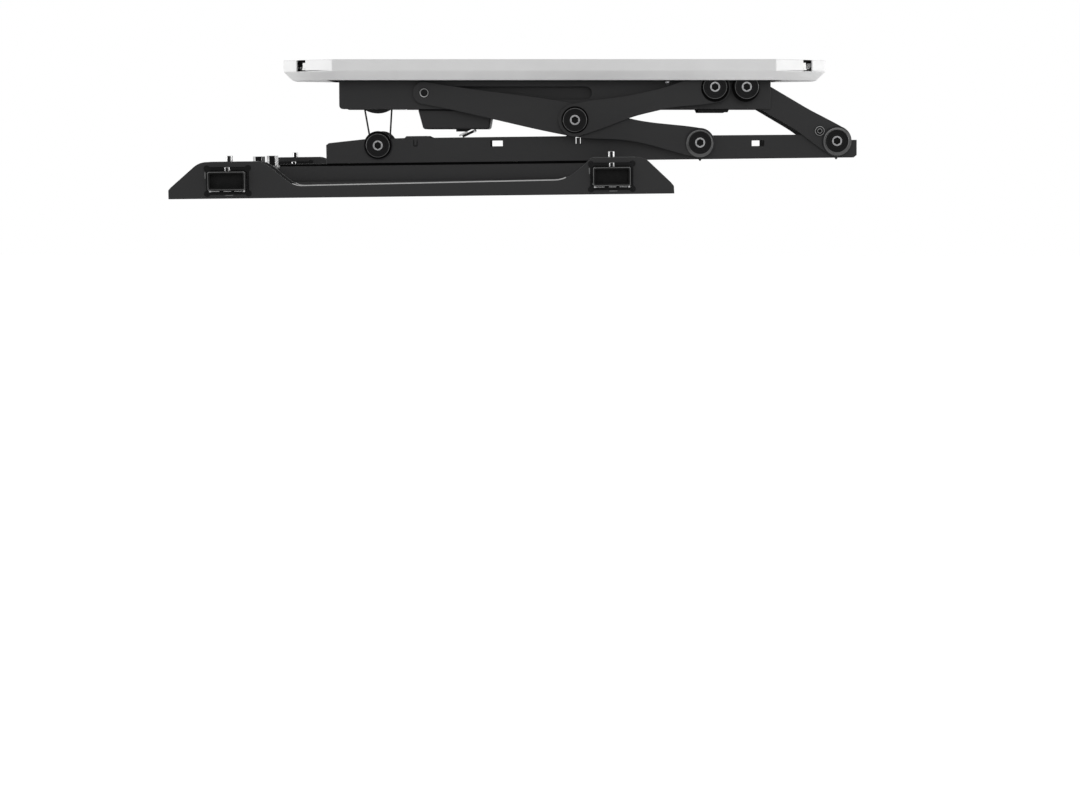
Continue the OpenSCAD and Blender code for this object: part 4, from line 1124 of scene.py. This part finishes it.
def add_housing():
    """The motor's housing, its corners well rounded, and the switch cut away round its lever."""
    housing = nodes_copy("motor_housing")
    for vertex in housing.data.vertices:
        if vertex.co.z < HOUSING_FLOOR:
            vertex.co.z -= HOUSING_SINK
    round_edges(housing, 2.4 * MM, segments=4)
    coat_with(housing, housing_plastic)
    dress(housing, "black_plastic", "base", "motor_housing")
    switch = nodes_copy("limit_switch")
    edit_whole(switch)
    bpy.ops.mesh.bisect(
        plane_co=SWITCH_CUT, plane_no=SWITCH_CUT_FACING, use_fill=True, clear_outer=True
    )
    leave_edit()
    round_edges(switch, FINE_EDGE)
    dress(switch, "black_plastic", "base", "limit_switch")


CATCH_T = 1.2 * MM
CORNER_FACING = Vector((0.6296, 0.777))


def add_cover_clips():
    """Catch plates behind the cover's notches, painted shadow-black as the shade in the notches, with the white
    hooks that hold it.
    """
    clips = nodes_copy("cover_clips")
    coat_with(clips, bore_shadow, white_moulded)

    def outwards(place):
        return CORNER_FACING.dot(Vector((abs(place.x), abs(place.y))))

    plate_front = min(outwards(vertex.co) for vertex in clips.data.vertices) + CATCH_T
    for face in clips.data.polygons:
        face.material_index = 1 if outwards(face.center) > plate_front + 0.05 * MM else 0
    round_edges(clips, FINE_EDGE)
    dress(clips, "white_plastic", "base", "cover_clips")


GLIDE_LOW = -21.3 * MM


def add_channel():
    """The carriage's channel. Its glide ribs' upright faces, in the shade under the frame, are painted
    shadow-black.
    """
    channel = nodes_copy("carriage_channel")
    coat_with(channel, black_coat, bore_shadow)
    across_frame = Vector((-math.sin(FRAME_TILT), 0, math.cos(FRAME_TILT)))
    elbow = Vector((ELBOW[0], 0, ELBOW[1]))
    for face in channel.data.polygons:
        lowest = min(across_frame.dot(channel.data.vertices[i].co - elbow) for i in face.vertices)
        face.material_index = 1 if lowest > GLIDE_LOW and abs(face.normal.y) > 0.9 else 0
    round_edges(channel, SHEET_EDGE)
    dress(channel, "black_paint", "carriage", "carriage_channel")


# Rope

ROPE_R = 1 * MM
ROPE_Y = 3.5 * MM
ROPE_LAY = 9 * MM
ROPE_STEPS = 110
STRANDS = 6
STRAND_VALLEY = 0.86
ANCHOR_GAP = 2.9 * MM
WOUND_R = 17 * MM
ANCHOR_RUN = 48.6 * MM
DRUM_RUN = 61.8 * MM


def laid_rope(length):
    """Six-strand rope up Z from the origin, twisted once in each lay."""
    bpy.ops.mesh.primitive_circle_add(vertices=4 * STRANDS, radius=ROPE_R, fill_type="NGON")
    rope = bpy.context.object
    for number, vertex in enumerate(rope.data.vertices):
        vertex.co *= STRAND_VALLEY if number % 4 == 0 else 1.0
    select_faces(rope, lambda centre, normal: True)
    bpy.ops.mesh.delete(type="ONLY_FACE")
    leave_edit()
    add_applied(
        rope, "SCREW", angle=math.radians(360) * length / ROPE_LAY, screw_offset=length,
        iterations=1, steps=ROPE_STEPS, render_steps=ROPE_STEPS,
    )
    outward(rope)
    smooth(rope, 60)
    return rope


def rope_run(name, axis, start, length, stood_for):
    """A rope run along its slide's axis, laid in place."""
    run = laid_rope(length)
    set_down(run, start, (0, math.atan2(axis.x, axis.z), 0))
    run.name = name
    coat_with(run, finish["rope_wire"])
    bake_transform(run)
    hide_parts(*stood_for)


def add_rope():
    """Both runs. One starts past its anchor's pin, the other where it leaves the drum's winding."""
    axis = Vector(joints["anchor_rope_pay_out"]["axis"])
    x, z = pivot("anchor_rope_swing")
    rope_run(
        "anchor_side_rope", axis, Vector((x, ROPE_Y, z)) + axis * ANCHOR_GAP, ANCHOR_RUN,
        ("rope_anchor_run", "rope_anchor_end"),
    )
    axis = Vector(joints["drum_rope_pay_out"]["axis"])
    x, z = pivot("drum_rope_swing")
    square_to_rope = Vector((-axis.z, 0, axis.x))
    rope_run(
        "drum_side_rope", axis, Vector((x, -ROPE_Y, z)) + square_to_rope * WOUND_R, DRUM_RUN,
        ("rope_drum_run", "rope_drum_end"),
    )


add_camera()
add_caps()
add_clamp_screws()
add_tube_nuts()
add_ringed_heads()
add_tube_ends()
add_collars()
add_bracket_lips()
add_rail_screws()
add_tab_backs()
add_rope()
add_switch_lever()


# The solids whose shape is right, with their edges rounded as much as the real ones are

sheet_steel = (
    "ceiling_plate", "base_rail_near", "base_rail_far", "long_arm_near", "long_arm_far",
    "cross_arm_near", "cross_arm_far", "rear_arm_near", "rear_arm_far", "swing_frame",
    "winch_plate_near", "winch_plate_far", "motor_bracket", "cross_tube_left", "cross_tube_right",
)
mouldings = ("cover_shell", "control_box", "gearbox_housing")
small_parts = (
    "root_axle", "rail_bumpers", "rope_anchor", "worm_shaft", "gear_motor", "remote_sensor",
    "power_inlet", "guide_shoes", "knee_axle", "rear_arm_tie", "elbow_axle", "tail_axle",
    "pulley_axle", "rope_pulley", "carriage_studs", "winch_drum", "rope_winding", "drum_shaft",
    "worm_wheel",
)
for node in sheet_steel:
    softened(node, SHEET_EDGE)
for node in ("bracket_near", "bracket_far"):
    softened(node, SHEET_EDGE, whole_flats=False)
for node in mouldings:
    softened(node, MOULD_EDGE, segments=3)
for node in small_parts:
    softened(node, FINE_EDGE)
add_housing()
add_cover_clips()
add_channel()


# Studio

SOFTBOX_SIZE = 1.8
SOFTBOX_AIM = (0, 0, -0.08)
FLOOR_Z = -1.2
WORLD_LEVEL = 0.53


def white_to_camera(tree, lit, white):
    """A shader that camera, mirror and glass rays see as white, and other rays as lit."""
    path = tree.nodes.new("ShaderNodeLightPath")
    either = tree.nodes.new("ShaderNodeMath")
    either.operation = "MAXIMUM"
    any_of = tree.nodes.new("ShaderNodeMath")
    any_of.operation = "MAXIMUM"
    tree.links.new(path.outputs["Is Camera Ray"], either.inputs[0])
    tree.links.new(path.outputs["Is Glossy Ray"], either.inputs[1])
    tree.links.new(either.outputs[0], any_of.inputs[0])
    tree.links.new(path.outputs["Is Transmission Ray"], any_of.inputs[1])
    mixed = tree.nodes.new("ShaderNodeMixShader")
    tree.links.new(any_of.outputs[0], mixed.inputs["Fac"])
    tree.links.new(lit, mixed.inputs[1])
    tree.links.new(white, mixed.inputs[2])
    return mixed.outputs[0]


def add_floor():
    """A pale floor well below the lowered mount, white to the camera but for the mount's shadow."""
    bpy.ops.mesh.primitive_plane_add(size=30, location=(0, 6, FLOOR_Z))
    floor = bpy.context.object
    floor.name = "studio_floor"
    material = bpy.data.materials.new("pale_floor")
    material.use_nodes = True
    tree = material.node_tree
    tree.nodes.remove(tree.nodes["Principled BSDF"])
    pale = tree.nodes.new("ShaderNodeBsdfDiffuse")
    pale.inputs["Color"].default_value = (*grey(0.8), 1)
    glow = tree.nodes.new("ShaderNodeEmission")
    glow.inputs["Strength"].default_value = 0.95
    faint = tree.nodes.new("ShaderNodeBsdfDiffuse")
    faint.inputs["Color"].default_value = (*grey(0.2), 1)
    lifted = tree.nodes.new("ShaderNodeAddShader")
    tree.links.new(glow.outputs[0], lifted.inputs[0])
    tree.links.new(faint.outputs[0], lifted.inputs[1])
    surface = white_to_camera(tree, pale.outputs[0], lifted.outputs[0])
    tree.links.new(surface, tree.nodes["Material Output"].inputs["Surface"])
    coat_with(floor, material)


def add_world():
    world = bpy.data.worlds.new("studio_world")
    bpy.context.scene.world = world
    world.use_nodes = True
    tree = world.node_tree
    lit = tree.nodes["Background"]
    lit.inputs["Color"].default_value = (1, 1, 1, 1)
    lit.inputs["Strength"].default_value = WORLD_LEVEL
    white = tree.nodes.new("ShaderNodeBackground")
    white.inputs["Color"].default_value = (1, 1, 1, 1)
    white.inputs["Strength"].default_value = 1
    surface = white_to_camera(tree, lit.outputs[0], white.outputs[0])
    tree.links.new(surface, tree.nodes["World Output"].inputs["Surface"])


def add_softbox(name, location, power):
    """A large square lamp aimed at the folded mount."""
    aim = Vector(SOFTBOX_AIM) - Vector(location)
    turn = aim.to_track_quat("-Z", "Y").to_euler()
    bpy.ops.object.light_add(type="AREA", location=location, rotation=turn)
    lamp = bpy.context.object
    lamp.name = name
    lamp.data.size = SOFTBOX_SIZE
    lamp.data.energy = power


bpy.context.scene.view_settings.view_transform = "Standard"
add_floor()
add_world()
add_softbox("left_softbox", (-3.0, 0.1, 0.2), 56)
add_softbox("right_softbox", (3.0, 0.1, 0.2), 56)
add_softbox("front_softbox", (0.2, -3.1, 0.9), 19)
